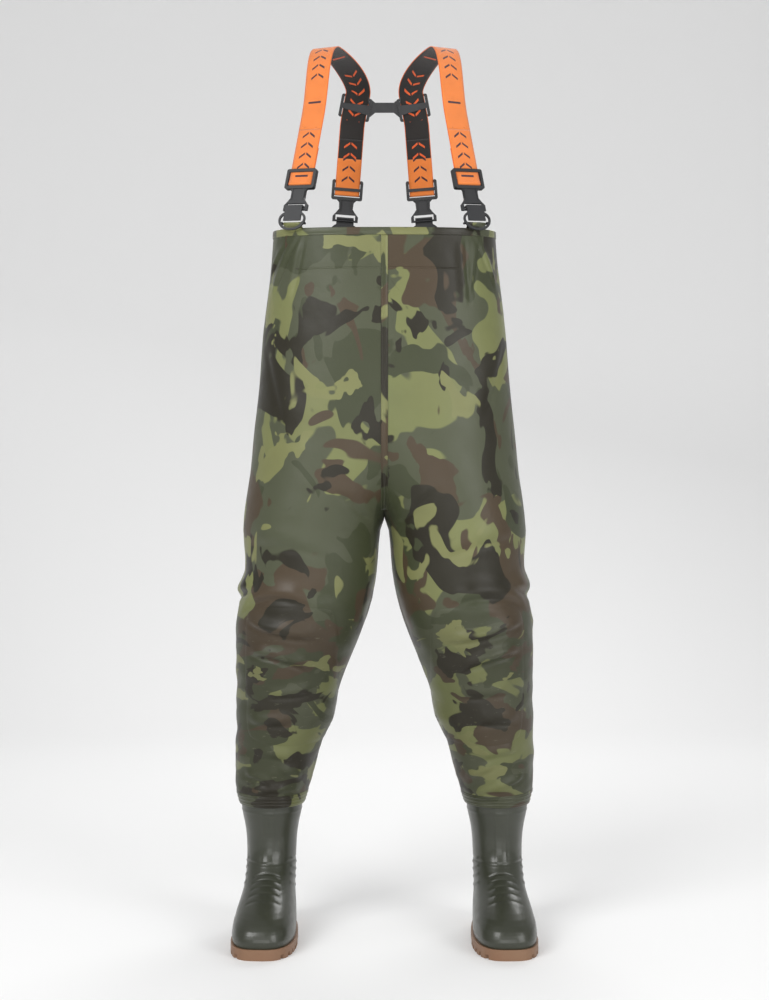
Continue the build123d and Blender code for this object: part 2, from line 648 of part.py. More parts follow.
def strap_stations():
    """(place, direction, outward facing) along a strap from its front end to its rear end."""
    reach = YOKE_HALF_HEIGHT + 3
    yoke_top = YOKE_CENTRE + YOKE_UP * reach
    yoke_low = YOKE_CENTRE - YOKE_UP * reach
    start = FRONT.along(STRAIGHT_TOP)
    apex = Vector(SHOULDER_X, SHOULDER_Y, BIB_FRONT_HEIGHT + SHOULDER_RISE)
    over = Vector(*SHOULDER_CROSSING).normalized()
    rise = bend_between(start, FRONT.up, apex, over)
    fall = bend_between(apex, over, yoke_top, YOKE_UP * -1, YOKE_ARRIVAL)
    top = Vector(0, 0, 1)
    stations = [(FRONT.along(RUN_TOP), FRONT.up, FRONT.out)]
    for i in range(STRAP_STEPS + 1):
        share = i / STRAP_STEPS
        if share < 0.5:
            facing = FRONT.out * (1 - 2 * share) + top * (2 * share)
        else:
            facing = top * (2 - 2 * share) + YOKE_OUT * (2 * share - 1)
        half = rise if share < 0.5 else fall
        place = 2 * share if share < 0.5 else 2 * share - 1
        stations.append((half.position_at(place), half.tangent_at(place), facing))
    stations.append((yoke_low, YOKE_UP * -1, YOKE_OUT))
    stations.append((REAR.along(STRAIGHT_TOP), REAR.up * -1, REAR.out))
    stations.append((REAR.along(RUN_TOP), REAR.up * -1, REAR.out))
    return stations


def strap():
    """Webbing from the front run over the shoulder and through the yoke to the rear run."""
    sections = []
    for place, along, facing in strap_stations():
        out = (facing - along * facing.dot(along)).normalized()
        plane = Plane(origin=place, x_dir=out.cross(along), z_dir=along)
        sections.append(plane * Rectangle(WEBBING_WIDTH, WEBBING))
    return loft(sections, ruled=True)


def yoke():
    """H-shaped slider: a beam joins two three-bar frames, one on each strap."""
    across = YOKE_UP.cross(YOKE_OUT)
    half = YOKE_HALF_HEIGHT
    side_in = -HALF_WEB - SLIDE_GAP - BAR_THICKNESS
    side_out = HALF_WEB + SLIDE_GAP + BAR_THICKNESS

    def layer(outline, inner, outer):
        plane = Plane(origin=YOKE_CENTRE + YOKE_OUT * inner, x_dir=across, z_dir=YOKE_OUT)
        return extrude(plane * outline, amount=outer - inner)

    frame = RectangleRounded(FRAME_WIDTH, 2 * half, 4) - Rectangle(WINDOW, 4 * half)
    end = layer(frame, side_in, side_out)
    for side in (-1, 1):
        bar = Pos(0, side * (half - BAR_THICKNESS)) * Rectangle(WINDOW + 2, 2 * BAR_THICKNESS)
        end += layer(bar, HALF_WEB + SLIDE_GAP, side_out)
    inner_x = math.copysign(FRAME_WIDTH / 2, across.X) * -1
    taper = Polyline(
        (inner_x, -YOKE_BEAM / 2), (-inner_x, -YOKE_BEAM / 4),
        (-inner_x, YOKE_BEAM / 4), (inner_x, YOKE_BEAM / 2), close=True,
    )
    end += layer(make_face(taper), side_in, -HALF_WEB - SLIDE_GAP)
    reach = YOKE_CENTRE.X - FRAME_WIDTH / 2 + FRAME_RAIL
    flare = reach - 14
    beam = Polyline(
        (0, YOKE_BEAM / 2), (flare, YOKE_BEAM / 2), (reach, half - 2),
        (reach, -half + 2), (flare, -YOKE_BEAM / 2), (0, -YOKE_BEAM / 2), close=True,
    )
    level = (YOKE_OUT - Vector(1, 0, 0) * YOKE_OUT.X).normalized()
    middle = Vector(0, YOKE_CENTRE.Y, YOKE_CENTRE.Z) - level * (YOKE_BEAM_THICKNESS / 2)
    half_beam = extrude(Plane(origin=middle, x_dir=(1, 0, 0), z_dir=level) * make_face(beam),
                        amount=YOKE_BEAM_THICKNESS)
    web = layer(Rectangle(WINDOW, BIG), -HALF_WEB - SLIDE_GAP, side_out + BIG / 40)
    side = end + (half_beam - web)
    return side + mirrored(side)


# ---------------------------------------------------------------- export
@lru_cache(maxsize=None)
def middle_y():
    """Middle of the whole object from toe to rear ring, which becomes y = 0."""
    return (outsole().bounding_box().min.Y + ring(REAR).bounding_box().max.Y) / 2


def save(shape, node):
    export_step(Pos(0, -middle_y(), 0) * shape, f"parts/{node}.step")


def save_pair(shape, name):
    """Write the wearer's left piece and its mirror image."""
    save(shape, f"{name}_left")
    save(mirrored(shape), f"{name}_right")


def main():
    os.makedirs("parts", exist_ok=True)
    front, back = body_panels()
    save_pair(front, "front_panel")
    save_pair(back, "back_panel")
    save(bib_hem(), "bib_hem")
    save(centre_seam_tape(), "centre_seam_tape")
    save(inner_pocket(), "inner_pocket")
    save_pair(knee_patch(), "knee_patch")
    save_pair(boot_joint_band(), "boot_joint_band")
    save_pair(boot_upper(), "boot_upper")
    save_pair(outsole(), "outsole")
    save_pair(insole(), "insole")
    for seat, place in ((FRONT, "front"), (REAR, "rear")):
        save_pair(tab(seat), f"{place}_tab")
        save_pair(ring(seat), f"{place}_ring")
        save_pair(clip(seat), f"{place}_clip")
        save_pair(webbing_end(seat), f"{place}_webbing_end")
        save_pair(webbing_run(seat), f"{place}_run")
    save_pair(strap(), "strap")
    save(yoke(), "yoke")


if __name__ == "__main__":
    main()
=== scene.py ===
"""Looks for the chest waders: camouflage PVC halves, welded boots, webbing and moulded clips.

Metres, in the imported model's frame: +Z up, the front faces -Y, the wearer's left is at +X.
"""

import json
import math

import bpy
import numpy as np
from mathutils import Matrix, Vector, noise


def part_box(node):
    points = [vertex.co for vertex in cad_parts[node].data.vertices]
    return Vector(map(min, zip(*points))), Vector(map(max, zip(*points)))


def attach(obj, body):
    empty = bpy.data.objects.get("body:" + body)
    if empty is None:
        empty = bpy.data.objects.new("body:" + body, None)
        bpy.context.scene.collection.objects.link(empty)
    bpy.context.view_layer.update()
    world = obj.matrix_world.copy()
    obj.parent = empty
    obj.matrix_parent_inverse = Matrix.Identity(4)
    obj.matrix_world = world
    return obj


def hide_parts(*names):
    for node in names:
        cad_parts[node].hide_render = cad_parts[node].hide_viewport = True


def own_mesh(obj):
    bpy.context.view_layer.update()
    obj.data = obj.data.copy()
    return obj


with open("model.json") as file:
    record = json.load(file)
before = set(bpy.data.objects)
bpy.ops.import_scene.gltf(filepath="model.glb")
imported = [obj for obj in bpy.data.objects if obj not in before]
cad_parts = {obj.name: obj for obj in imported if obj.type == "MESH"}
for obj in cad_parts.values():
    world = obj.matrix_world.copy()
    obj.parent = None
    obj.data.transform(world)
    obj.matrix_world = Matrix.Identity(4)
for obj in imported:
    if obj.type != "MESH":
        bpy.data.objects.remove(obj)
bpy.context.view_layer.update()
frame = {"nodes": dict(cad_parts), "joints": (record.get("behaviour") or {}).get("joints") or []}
MM = 0.001
SIDES = (("left", 1), ("right", -1))
PLACES = ("front", "rear")


def middle_of(node, axis):
    low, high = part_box(node)
    return (low[axis] + high[axis]) / 2


BIB_Y = middle_of("bib_hem", 1)  # middle of the bib, front to back

# ---------------------------------------------------------------- sizes of the fabric (mm)
BIB_FRONT_HEIGHT = 1344.0
BIB_BACK_HEIGHT = 1372.0
BIB_HALF_DEPTH = 151.0
CROTCH_HEIGHT = 806.0
LEG_BOTTOM = 248.0
LOFT_TOP = BIB_BACK_HEIGHT + 30.0
FABRIC = 2.0
HEM_HEIGHT = 13.0
# share of the way up from the crotch, outer edge, how far the legs have parted, half depth,
# squareness of the outline
TORSO = [
    (1.00, 212, 0.00, 150, 2.8),
    (0.83, 219, 0.00, 152, 2.7),
    (0.61, 234, 0.00, 155, 2.5),
    (0.43, 243, 0.08, 155, 2.3),
    (0.26, 255, 0.30, 153, 2.1),
    (0.14, 262, 0.56, 150, 2.0),
    (0.057, 269, 0.82, 147, 2.0),
    (0.005, 273, 0.985, 145, 2.0),
]
# share of the way up from the leg's bottom, middle, half width, middle in y, half depth
LEG = [
    (0.953, 141.5, 133.5, 0.0, 142.0),
    (0.810, 143.0, 128.0, -1.0, 135.0),
    (0.720, 152.0, 128.0, -3.0, 131.0),
    (0.638, 163.0, 125.5, -5.0, 127.0),
    (0.554, 172.0, 116.5, -4.0, 118.0),
    (0.470, 182.0, 107.0, 0.0, 110.0),
    (0.387, 190.0, 99.0, 5.0, 104.0),
    (0.303, 194.0, 94.5, 9.0, 100.0),
    (0.219, 206.0, 84.0, 12.0, 94.0),
    (0.134, 212.5, 78.5, 13.0, 88.0),
    (0.050, 218.0, 69.5, 12.5, 80.0),
    (0.000, 220.0, 62.5, 12.5, 74.0),
    (-0.020, 220.0, 62.5, 12.5, 74.0),
]


def refined(rows, step):
    """Rows interpolated smoothly by their first value, at most step apart."""
    slopes = []
    for i in range(len(rows)):
        low = rows[max(i - 1, 0)]
        high = rows[min(i + 1, len(rows) - 1)]
        slopes.append([(b - a) / (high[0] - low[0]) for a, b in zip(low, high)])
    fine = [rows[0]]
    for i in range(len(rows) - 1):
        gap = rows[i + 1][0] - rows[i][0]
        count = math.ceil(abs(gap) / step)
        for k in range(1, count + 1):
            t = k / count
            start = 2 * t**3 - 3 * t**2 + 1
            leave = (t**3 - 2 * t**2 + t) * gap
            arrive = (t**3 - t**2) * gap
            row = []
            for a, b, c, d in zip(rows[i], rows[i + 1], slopes[i], slopes[i + 1]):
                row.append(a * start + b * (1 - start) + c * leave + d * arrive)
            fine.append(tuple(row))
    return fine


def fabric_rows():
    rows = []
    for share, outer, parted, half_depth, squareness in TORSO:
        height = CROTCH_HEIGHT + share * (LOFT_TOP - CROTCH_HEIGHT)
        half_width = outer / (1 + parted)
        rows.append((height, outer - half_width, half_width, 0.0, half_depth, squareness))
    for share, middle, half_width, middle_y, half_depth in LEG:
        height = LEG_BOTTOM + share * (CROTCH_HEIGHT - LEG_BOTTOM)
        rows.append((height, middle, half_width, middle_y, half_depth, 2.0))
    return np.array(refined(rows, 30.0)[::-1])


# ---------------------------------------------------------------- the fabric's surface
ROWS = fabric_rows()
HEIGHTS = np.arange(LEG_BOTTOM - 8, LOFT_TOP - 4, 3.0)
ROUND = 121  # samples from the outer side line to the inner edge


def half_curve(height):
    """Points of one row from the outer side line to the inner edge, evenly spaced, in mm."""
    middle, width, middle_y, depth, square = [np.interp(height, ROWS[:, 0], ROWS[:, i]) for i in range(1, 6)]
    angle = np.linspace(0, math.pi, 1500)
    x = middle + width * np.sign(np.cos(angle)) * np.abs(np.cos(angle)) ** (2 / square)
    y = depth * np.abs(np.sin(angle)) ** (2 / square)
    inside = x >= 0
    last = int(np.argmin(inside)) if not inside.all() else len(x) - 1
    x, y = np.maximum(x[: last + 1], 0), y[: last + 1]
    run = np.concatenate([[0], np.cumsum(np.hypot(np.diff(x), np.diff(y)))])
    even = np.linspace(0, run[-1], ROUND)
    x, y = np.interp(even, run, x), np.interp(even, run, y)
    dx, dy = np.gradient(x), np.gradient(y)
    size = np.hypot(dx, dy) + 1e-9
    nx, ny = dy / size, -dx / size
    if last < len(angle) - 1:
        nx[-1], ny[-1] = 0.0, 1.0
    nx[0], ny[0] = 1.0, 0.0
    return x, y, nx, ny, middle_y, run[-1]


CURVES = [half_curve(h) for h in HEIGHTS]
TABLE = np.array([np.stack(c[:4]) for c in CURVES])  # row, (x, y, nx, ny), sample
MIDDLE_Y = np.array([c[4] for c in CURVES])
GIRTH = np.array([c[5] for c in CURVES])


def smooth(value, low, high):
    """0 below low, 1 above high, smooth between."""
    t = np.clip((value - low) / (high - low), 0, 1)
    return t * t * (3 - 2 * t)


def lookup(s, height):
    """Place, normal and distance from the outer line at s (-1 front edge to 1 back edge)."""
    row = np.clip((height - HEIGHTS[0]) / 3.0, 0, len(HEIGHTS) - 1.001)
    column = np.clip(np.abs(s) * (ROUND - 1), 0, ROUND - 1.001)
    r, c = row.astype(int), column.astype(int)
    fr, fc = row - r, column - c
    found = []
    for k in range(4):
        t = TABLE[:, k]
        low = t[r, c] * (1 - fc) + t[r, c + 1] * fc
        high = t[r + 1, c] * (1 - fc) + t[r + 1, c + 1] * fc
        found.append(low * (1 - fr) + high * fr)
    x, y, nx, ny = found
    back = np.where(s < 0, -1.0, 1.0)
    middle = np.interp(height, HEIGHTS, MIDDLE_Y)
    girth = np.interp(height, HEIGHTS, GIRTH)
    return x, middle + back * y, nx, back * ny, girth


def s_at(x, height, back=False):
    """The s of the place at this x (mm, positive) on the front or back."""
    row = TABLE[int(np.clip((height - HEIGHTS[0]) / 3.0, 0, len(HEIGHTS) - 1)), 0]
    best = float(np.interp(-x, -row, np.linspace(0, 1, ROUND)))
    return best if back else -best


def edge_height(y):
    """Height of the bib's top edge, higher at the back."""
    slope = (BIB_BACK_HEIGHT - BIB_FRONT_HEIGHT) / (2 * BIB_HALF_DEPTH)
    return (BIB_FRONT_HEIGHT + BIB_BACK_HEIGHT) / 2 + slope * y


# Creases: start and end as (x, height) in mm on the front or back, ridge height, width, and
# how far the middle of the line is bowed up.
CREASES = {
    "left": [
        ("front", 262, 634, 140, 644, 7.0, 17, 14),
        ("front", 250, 596, 128, 566, 6.0, 13, -4),
        ("front", 246, 545, 150, 514, 8.0, 13, 3),
        ("front", 228, 470, 140, 462, 4.5, 13, -3),
        ("front", 246, 412, 176, 408, 5.0, 14, 2),
        ("front", 246, 352, 190, 341, 4.5, 13, 2),
        ("front", 262, 300, 214, 288, 4.5, 9, -3),
        ("front", 240, 279, 176, 270, 4.0, 8, 5),
        ("front", 206, 322, 165, 300, 4.0, 10, 0),
        ("front", 285, 652, 250, 668, 8.0, 18, 0),
        ("back", 285, 668, 200, 690, 7.0, 20, 0),
        ("back", 280, 610, 130, 560, 7.0, 22, 10),
        ("back", 260, 520, 140, 500, 7.0, 20, -8),
        ("back", 270, 450, 150, 430, 6.0, 18, 6),
        ("back", 262, 370, 170, 350, 5.0, 15, -4),
        ("back", 262, 310, 180, 292, 5.0, 11, 3),
        ("back", 250, 274, 190, 268, 3.0, 8, 0),
        ("back", 225, 800, 60, 850, 8.0, 26, 12),
        ("front", 90, 850, 30, 790, 4.0, 16, 0),
        ("front", 235, 760, 120, 730, 3.5, 22, 8),
        ("front", 168, 1330, 205, 1245, 3.5, 9, 0),
        ("front", 150, 1325, 158, 1215, 3.5, 10, 0),
        ("front", 178, 1322, 166, 1235, 3.0, 8, 0),
        ("back", 84, 1350, 60, 1270, 3.0, 12, 0),
        ("back", 90, 1350, 120, 1270, 3.0, 12, 0),
        ("front", 225, 1120, 190, 1000, 3.0, 26, 0),
    ],
    "right": [
        ("front", 266, 628, 148, 640, 7.0, 16, 16),
        ("front", 252, 600, 140, 574, 5.5, 13, -6),
        ("front", 244, 541, 152, 517, 8.0, 12, 5),
        ("front", 222, 464, 146, 470, 4.5, 12, -3),
        ("front", 250, 409, 182, 411, 5.5, 13, -2),
        ("front", 240, 345, 180, 338, 4.5, 12, 3),
        ("front", 264, 306, 220, 290, 4.5, 9, 3),
        ("front", 250, 268, 188, 276, 4.5, 8, 4),
        ("front", 200, 318, 165, 300, 4.0, 9, 0),
        ("front", 286, 648, 256, 664, 9.0, 18, 0),
        ("back", 285, 662, 205, 684, 7.0, 20, 0),
        ("back", 275, 600, 140, 572, 7.0, 20, 8),
        ("back", 262, 530, 150, 498, 7.0, 20, -8),
        ("back", 268, 442, 160, 436, 6.0, 18, 8),
        ("back", 262, 362, 174, 356, 5.0, 15, -4),
        ("back", 258, 306, 184, 296, 5.0, 11, 3),
        ("back", 230, 810, 50, 846, 8.0, 26, 10),
        ("front", 84, 846, 26, 792, 4.0, 16, 0),
        ("front", 240, 750, 130, 736, 3.5, 22, 6),
        ("front", 160, 1330, 206, 1236, 4.0, 11, 0),
        ("front", 176, 1326, 214, 1268, 3.5, 9, 0),
        ("front", 150, 1325, 172, 1225, 3.0, 12, 0),
        ("back", 84, 1350, 62, 1280, 3.0, 12, 0),
        ("back", 90, 1350, 118, 1262, 3.0, 12, 0),
        ("front", 222, 1110, 196, 990, 3.0, 26, 0),
    ],
}


def crease_lines(side):
    lines = []
    for face, x0, h0, x1, h1, ridge, width, bow in CREASES[side]:
        back = face == "back"
        ends = []
        for x, h in ((x0, h0), (x1, h1)):
            girth = float(np.interp(h, HEIGHTS, GIRTH))
            ends.append((s_at(x, h, back) * girth, h))
        lines.append((ends[0], ends[1], ridge, width, bow))
    return lines


LINES = {side: crease_lines(side) for side, _ in SIDES}


def soft_noise(s, height, girth, side, size, squash, seed):
    """Noise over the fabric, squashed in height to give level folds."""
    shape = s.shape
    around = (s * girth).ravel() / size
    up = height.ravel() * squash / size
    values = [noise.noise(Vector((a, u, seed))) for a, u in zip(around, up)]
    return np.array(values).reshape(shape)


def folds(s, height, girth, side):
    """How far the fabric stands out from its plain surface, in mm."""
    around = s * girth
    out = np.zeros_like(around)
    for (a0, h0), (a1, h1), ridge, width, bow in LINES[side]:
        length = math.hypot(a1 - a0, h1 - h0)
        ux, uy = (a1 - a0) / length, (h1 - h0) / length
        along = ((around - a0) * ux + (height - h0) * uy) / length
        flip = 1 if ux > 0 else -1
        across = ((around - a0) * -uy + (height - h0) * ux) * flip
        across = across - bow * (1 - (2 * along - 1) ** 2)
        fade = smooth(along, -0.22, 0.2) * smooth(-along, -1.22, -0.8)
        crest = np.exp(-(((across - 0.9 * width) / width) ** 2))
        valley = np.exp(-((across / (0.38 * width)) ** 2))
        out += fade * ridge * (crest - 0.75 * valley)
    seed = 3.7 if side == "left" else 11.2
    leg = smooth(-height, -720, -610)
    cuff = smooth(-height, -340, -285)
    out += (1.6 + 2.6 * leg) * soft_noise(s, height, girth, side, 120.0, 1.0 + 0.0, seed)
    out += (0.3 + 2.6 * leg) * soft_noise(s, height, girth, side, 70.0, 2.4, seed + 5)
    out += 2.4 * cuff * soft_noise(s, height, girth, side, 30.0, 1.6, seed + 9)
    held = smooth(girth * (1 - np.abs(s)), 0, 22)  # still at the centre seam and inseam
    held = held * (0.25 + 0.75 * smooth(-height, -1340, -1290)) * smooth(height, LEG_BOTTOM + 2, LEG_BOTTOM + 30)
    return out * held


def fabric_point(side, s, height, offset=0.0):
    """Places on the folded fabric moved out by offset, in metres."""
    s = np.asarray(s, float)
    height = np.asarray(height, float) + 0 * s
    x, y, nx, ny, girth = lookup(s, height)
    out = folds(s, height, girth, side) + offset
    sign = 1 if side == "left" else -1
    points = np.stack([sign * (x + nx * out) * MM, (y + ny * out) * MM + BIB_Y, height * MM], -1)
    if np.any(np.abs(s) > 0.999):
        above = (height > CROTCH_HEIGHT) & (np.abs(s) > 0.999)
        points[..., 0] = np.where(above, 0.0, points[..., 0])
    return points


# ---------------------------------------------------------------- mesh helpers
def new_object(name, mesh):
    obj = bpy.data.objects.new(name, mesh)
    bpy.context.scene.collection.objects.link(obj)
    return obj


def grid_object(name, points, uv=None, flip=False, closed=False, caps=False):
    """A mesh from rows of points; closed joins the last column to the first, caps close the ends."""
    rows, columns = points.shape[:2]
    faces = []
    wrap = columns if closed else columns - 1
    for r in range(rows - 1):
        for c in range(wrap):
            d = (c + 1) % columns
            face = (r * columns + c, r * columns + d, (r + 1) * columns + d, (r + 1) * columns + c)
            faces.append(face[::-1] if flip else face)
    if caps:
        faces.append(tuple(range(columns))[::-1])
        faces.append(tuple(range((rows - 1) * columns, rows * columns)))
    mesh = bpy.data.meshes.new(name)
    mesh.from_pydata(points.reshape(-1, 3).tolist(), [], faces)
    mesh.polygons.foreach_set("use_smooth", [True] * len(faces))
    if uv is not None:
        flat = uv.reshape(-1, 2)
        layer = mesh.uv_layers.new(name="UVMap")
        index = np.empty(len(mesh.loops), int)
        mesh.loops.foreach_get("vertex_index", index)
        layer.data.foreach_set("uv", flat[index].astype(float).ravel())
    mesh.update()
    return new_object(name, mesh)


def thicken(obj, thickness, offset=-1.0, rim=True):
    solid = obj.modifiers.new("Thickness", "SOLIDIFY")
    solid.thickness = thickness
    solid.offset = offset
    solid.use_rim = rim
    solid.use_even_offset = False
    return obj


def soften(obj, width, segments=2, angle=40):
    bevel = obj.modifiers.new("Soft edges", "BEVEL")
    bevel.width = width
    bevel.segments = segments
    bevel.limit_method = "ANGLE"
    bevel.angle_limit = math.radians(angle)
    bevel.use_clamp_overlap = True
    return obj


def finish_piece(obj, material, body, slot, *nodes):
    """Material, body and the CAD nodes that the piece stands for; slot is not used."""
    if material is not None:
        obj.data.materials.append(material)
    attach(obj, body)
    if nodes:
        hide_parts(*nodes)
    return obj


# ---------------------------------------------------------------- materials
def linear(hex_code):
    """A colour from its six-digit code, in linear light."""
    values = []
    for i in (0, 2, 4):
        c = int(hex_code[i:i + 2], 16) / 255
        values.append(c / 12.92 if c <= 0.04045 else ((c + 0.055) / 1.055) ** 2.4)
    return (*values, 1.0)


class Shader:
    """A material's node tree with short calls for the nodes used here."""

    def __init__(self, name, roughness=0.5, sheen=0.0, coat=0.0, specular=0.5):
        self.material = bpy.data.materials.new(name)
        self.material.use_nodes = True
        self.tree = self.material.node_tree
        self.surface = self.tree.nodes["Principled BSDF"]
        self.surface.inputs["Roughness"].default_value = roughness
        self.surface.inputs["Sheen Weight"].default_value = sheen
        self.surface.inputs["Coat Weight"].default_value = coat
        self.surface.inputs["Specular IOR Level"].default_value = specular

    def node(self, kind, output=0, settings=(), **inputs):
        made = self.tree.nodes.new(kind)
        for key, value in dict(settings).items():
            setattr(made, key, value)
        for key, value in inputs.items():
            socket = made.inputs[int(key[1:])] if key[0] == "i" and key[1:].isdigit() else made.inputs[key]
            self.put(socket, value)
        return made.outputs[output]

    def put(self, socket, value):
        if isinstance(value, bpy.types.NodeSocket):
            self.tree.links.new(value, socket)
        else:
            socket.default_value = value

    def set(self, name, value):
        self.put(self.surface.inputs[name], value)

    def place(self, kind="Object"):
        return self.tree.nodes.new("ShaderNodeTexCoord").outputs[kind]

    def moved(self, vector, shift=(0, 0, 0), scale=(1, 1, 1), turn=(0, 0, 0)):
        return self.node("ShaderNodeMapping", Vector=vector, Location=shift, Scale=scale, Rotation=turn)

    def noise(self, vector, scale, detail=2.0, roughness=0.5, distortion=0.0):
        return self.node("ShaderNodeTexNoise", Vector=vector, Scale=scale, Detail=detail,
                         Roughness=roughness, Distortion=distortion)

    def math(self, operation, a, b=0.0, c=0.0):
        return self.node("ShaderNodeMath", settings={"operation": operation}, i0=a, i1=b, i2=c)

    def step(self, value, edge, width):
        """0 below edge and 1 above it, over a narrow width."""
        made = self.tree.nodes.new("ShaderNodeMapRange")
        made.interpolation_type = "SMOOTHSTEP"
        self.put(made.inputs[0], value)
        made.inputs[1].default_value = edge - width
        made.inputs[2].default_value = edge + width
        return made.outputs[0]

    def mix(self, factor, a, b, blend="MIX"):
        made = self.tree.nodes.new("ShaderNodeMix")
        made.data_type = "RGBA"
        made.blend_type = blend
        self.put(made.inputs[0], factor)
        self.put(made.inputs[6], a)
        self.put(made.inputs[7], b)
        return made.outputs[2]

    def bump(self, height, distance, strength=1.0, normal=None):
        made = self.tree.nodes.new("ShaderNodeBump")
        made.inputs["Strength"].default_value = strength
        made.inputs["Distance"].default_value = distance
        self.put(made.inputs["Height"], height)
        if normal is not None:
            self.put(made.inputs["Normal"], normal)
        return made.outputs[0]

    def span(self, value, low, high):
        """A texture value of 0 to 1 spread between low and high."""
        return self.math("MULTIPLY_ADD", value, high - low, low)


CAMO_LIGHT = linear("787A4E")
CAMO_GREY = linear("494D3A")
CAMO_GREEN = linear("3A3F2A")
CAMO_BROWN = linear("46392A")
CAMO_DARK = linear("201C12")
KNEE = 0.62  # below this height the print is stretched sideways


def camouflage(name, shift, roughness=0.40):
    """Satin PVC printed in five colours, with fine cloth grain showing through and worn knees."""
    shader = Shader(name, roughness, sheen=0.03, specular=0.30)
    place = shader.place()
    parts = shader.tree.nodes.new("ShaderNodeSeparateXYZ")
    shader.put(parts.inputs[0], place)
    below = shader.math("MAXIMUM", shader.math("SUBTRACT", KNEE, parts.outputs[2]))
    height = shader.math("MULTIPLY_ADD", below, -1.0, parts.outputs[2])
    tree = shader.tree
    joined = tree.nodes.new("ShaderNodeCombineXYZ")
    shader.put(joined.inputs[0], parts.outputs[0])
    shader.put(joined.inputs[1], parts.outputs[1])
    shader.put(joined.inputs[2], height)
    base = shader.moved(joined.outputs[0], shift)
    colour = shader.mix(shader.noise(base, 5.0, 1.0), CAMO_LIGHT, linear("6C7347"))
    layers = (
        ((0.0, 0.0, 0.0), 6.0, 0.475, CAMO_GREY, 0.5),
        ((3.1, 1.7, 0.4), 7.0, 0.53, CAMO_GREEN, 0.6),
        ((7.7, 0.3, 2.9), 7.5, 0.545, CAMO_BROWN, 0.6),
        ((1.9, 5.2, 6.1), 8.5, 0.575, CAMO_DARK, 0.7),
        ((4.4, 9.1, 3.3), 9.5, 0.63, CAMO_LIGHT, 0.6),
    )
    for move, scale, edge, tint, distortion in layers:
        placed = shader.moved(base, move, (1.0, 1.0, 0.85), (0, 0.45, 0))
        blob = shader.noise(placed, scale, 2.6, 0.55, distortion)
        colour = shader.mix(shader.step(blob, edge, 0.006), colour, tint)
    cloud = shader.noise(place, 14.0, 3.0)
    colour = shader.mix(shader.span(cloud, 0.0, 0.30), colour, linear("3A3A2C"))
    scuff = shader.step(shader.noise(shader.moved(place, (0, 0, 0), (1, 1, 3.0)), 60.0, 5.0, 0.7), 0.66, 0.05)
    low_leg = shader.step(shader.math("MULTIPLY", parts.outputs[2], -1.0), -0.62, 0.05)
    # Darker below the knee: the print is mixed 30% towards CAMO_DARK by height alone.
    colour = shader.mix(shader.math("MULTIPLY", low_leg, 0.30), colour, CAMO_DARK)
    worn = shader.math("MULTIPLY", shader.math("MULTIPLY", scuff, low_leg), 0.12)
    colour = shader.mix(worn, colour, linear("A5A58C"))
    shader.set("Base Color", colour)
    shader.set("Roughness", shader.span(shader.noise(place, 35.0, 4.0), roughness - 0.08, roughness + 0.12))
    grain = shader.noise(place, 1400.0, 2.0)
    wave = shader.node("ShaderNodeTexWave", 1, {"wave_type": "BANDS", "bands_direction": "Z"},
                       Vector=place, Scale=330.0, Distortion=0.6)
    fine = shader.bump(shader.math("ADD", grain, shader.math("MULTIPLY", wave, 0.35)), 0.00012, 0.35)
    soft = shader.bump(shader.noise(place, 24.0, 3.0), 0.0025, 0.35, fine)
    shader.set("Normal", soft)
    return shader.material


def webbing(name, ground, mark, edge_line):
    """Ribbed woven webbing: ticks and chevrons in a second colour, and a coloured selvedge."""
    shader = Shader(name, 0.72, sheen=0.35, specular=0.3)
    parts = shader.tree.nodes.new("ShaderNodeSeparateXYZ")
    shader.put(parts.inputs[0], shader.place("UV"))
    across, along = parts.outputs[0], parts.outputs[1]
    aside = shader.math("ABSOLUTE", across)
    period = shader.math("MODULO", along, 0.205)
    tick = shader.math("LESS_THAN", shader.math("ABSOLUTE", shader.math("SUBTRACT", period, 0.014)), 0.0021)
    tick = shader.math("MULTIPLY", tick, shader.math("LESS_THAN", aside, 0.0135))
    slant = shader.math("MODULO", shader.math("MULTIPLY_ADD", aside, 0.75, period), 0.021)
    chevron = shader.math("LESS_THAN", shader.math("ABSOLUTE", shader.math("SUBTRACT", slant, 0.0105)), 0.0023)
    reach = shader.math("LESS_THAN", shader.math("ABSOLUTE", shader.math("SUBTRACT", period, 0.112)), 0.056)
    inside = shader.math("LESS_THAN", shader.math("ABSOLUTE", shader.math("SUBTRACT", aside, 0.0072)), 0.0058)
    chevron = shader.math("MULTIPLY", shader.math("MULTIPLY", chevron, reach), inside)
    marked = shader.math("MAXIMUM", tick, chevron)
    place = shader.place()
    fade = shader.noise(place, 45.0, 4.0)
    colour = shader.mix(shader.span(fade, 0.0, 0.3), ground, shader.mix(0.75, ground, linear("3A2A20")))
    colour = shader.mix(marked, colour, mark)
    colour = shader.mix(shader.math("GREATER_THAN", aside, 0.0237), colour, edge_line)
    ribs = shader.math("SINE", shader.math("MULTIPLY", along, 4200.0))
    cords = shader.math("SINE", shader.math("MULTIPLY", across, 5200.0))
    weave = shader.math("MULTIPLY_ADD", ribs, cords, shader.math("MULTIPLY", ribs, 0.6))
    shade = shader.math("MULTIPLY_ADD", weave, 0.10, 0.10)
    colour = shader.mix(shade, colour, shader.mix(0.6, colour, (0.0, 0.0, 0.0, 1.0)))
    shader.set("Base Color", colour)
    shader.set("Roughness", shader.span(fade, 0.62, 0.86))
    shader.set("Normal", shader.bump(weave, 0.00025, 0.6, shader.bump(shader.noise(place, 900.0), 0.0001, 0.5)))
    return shader.material


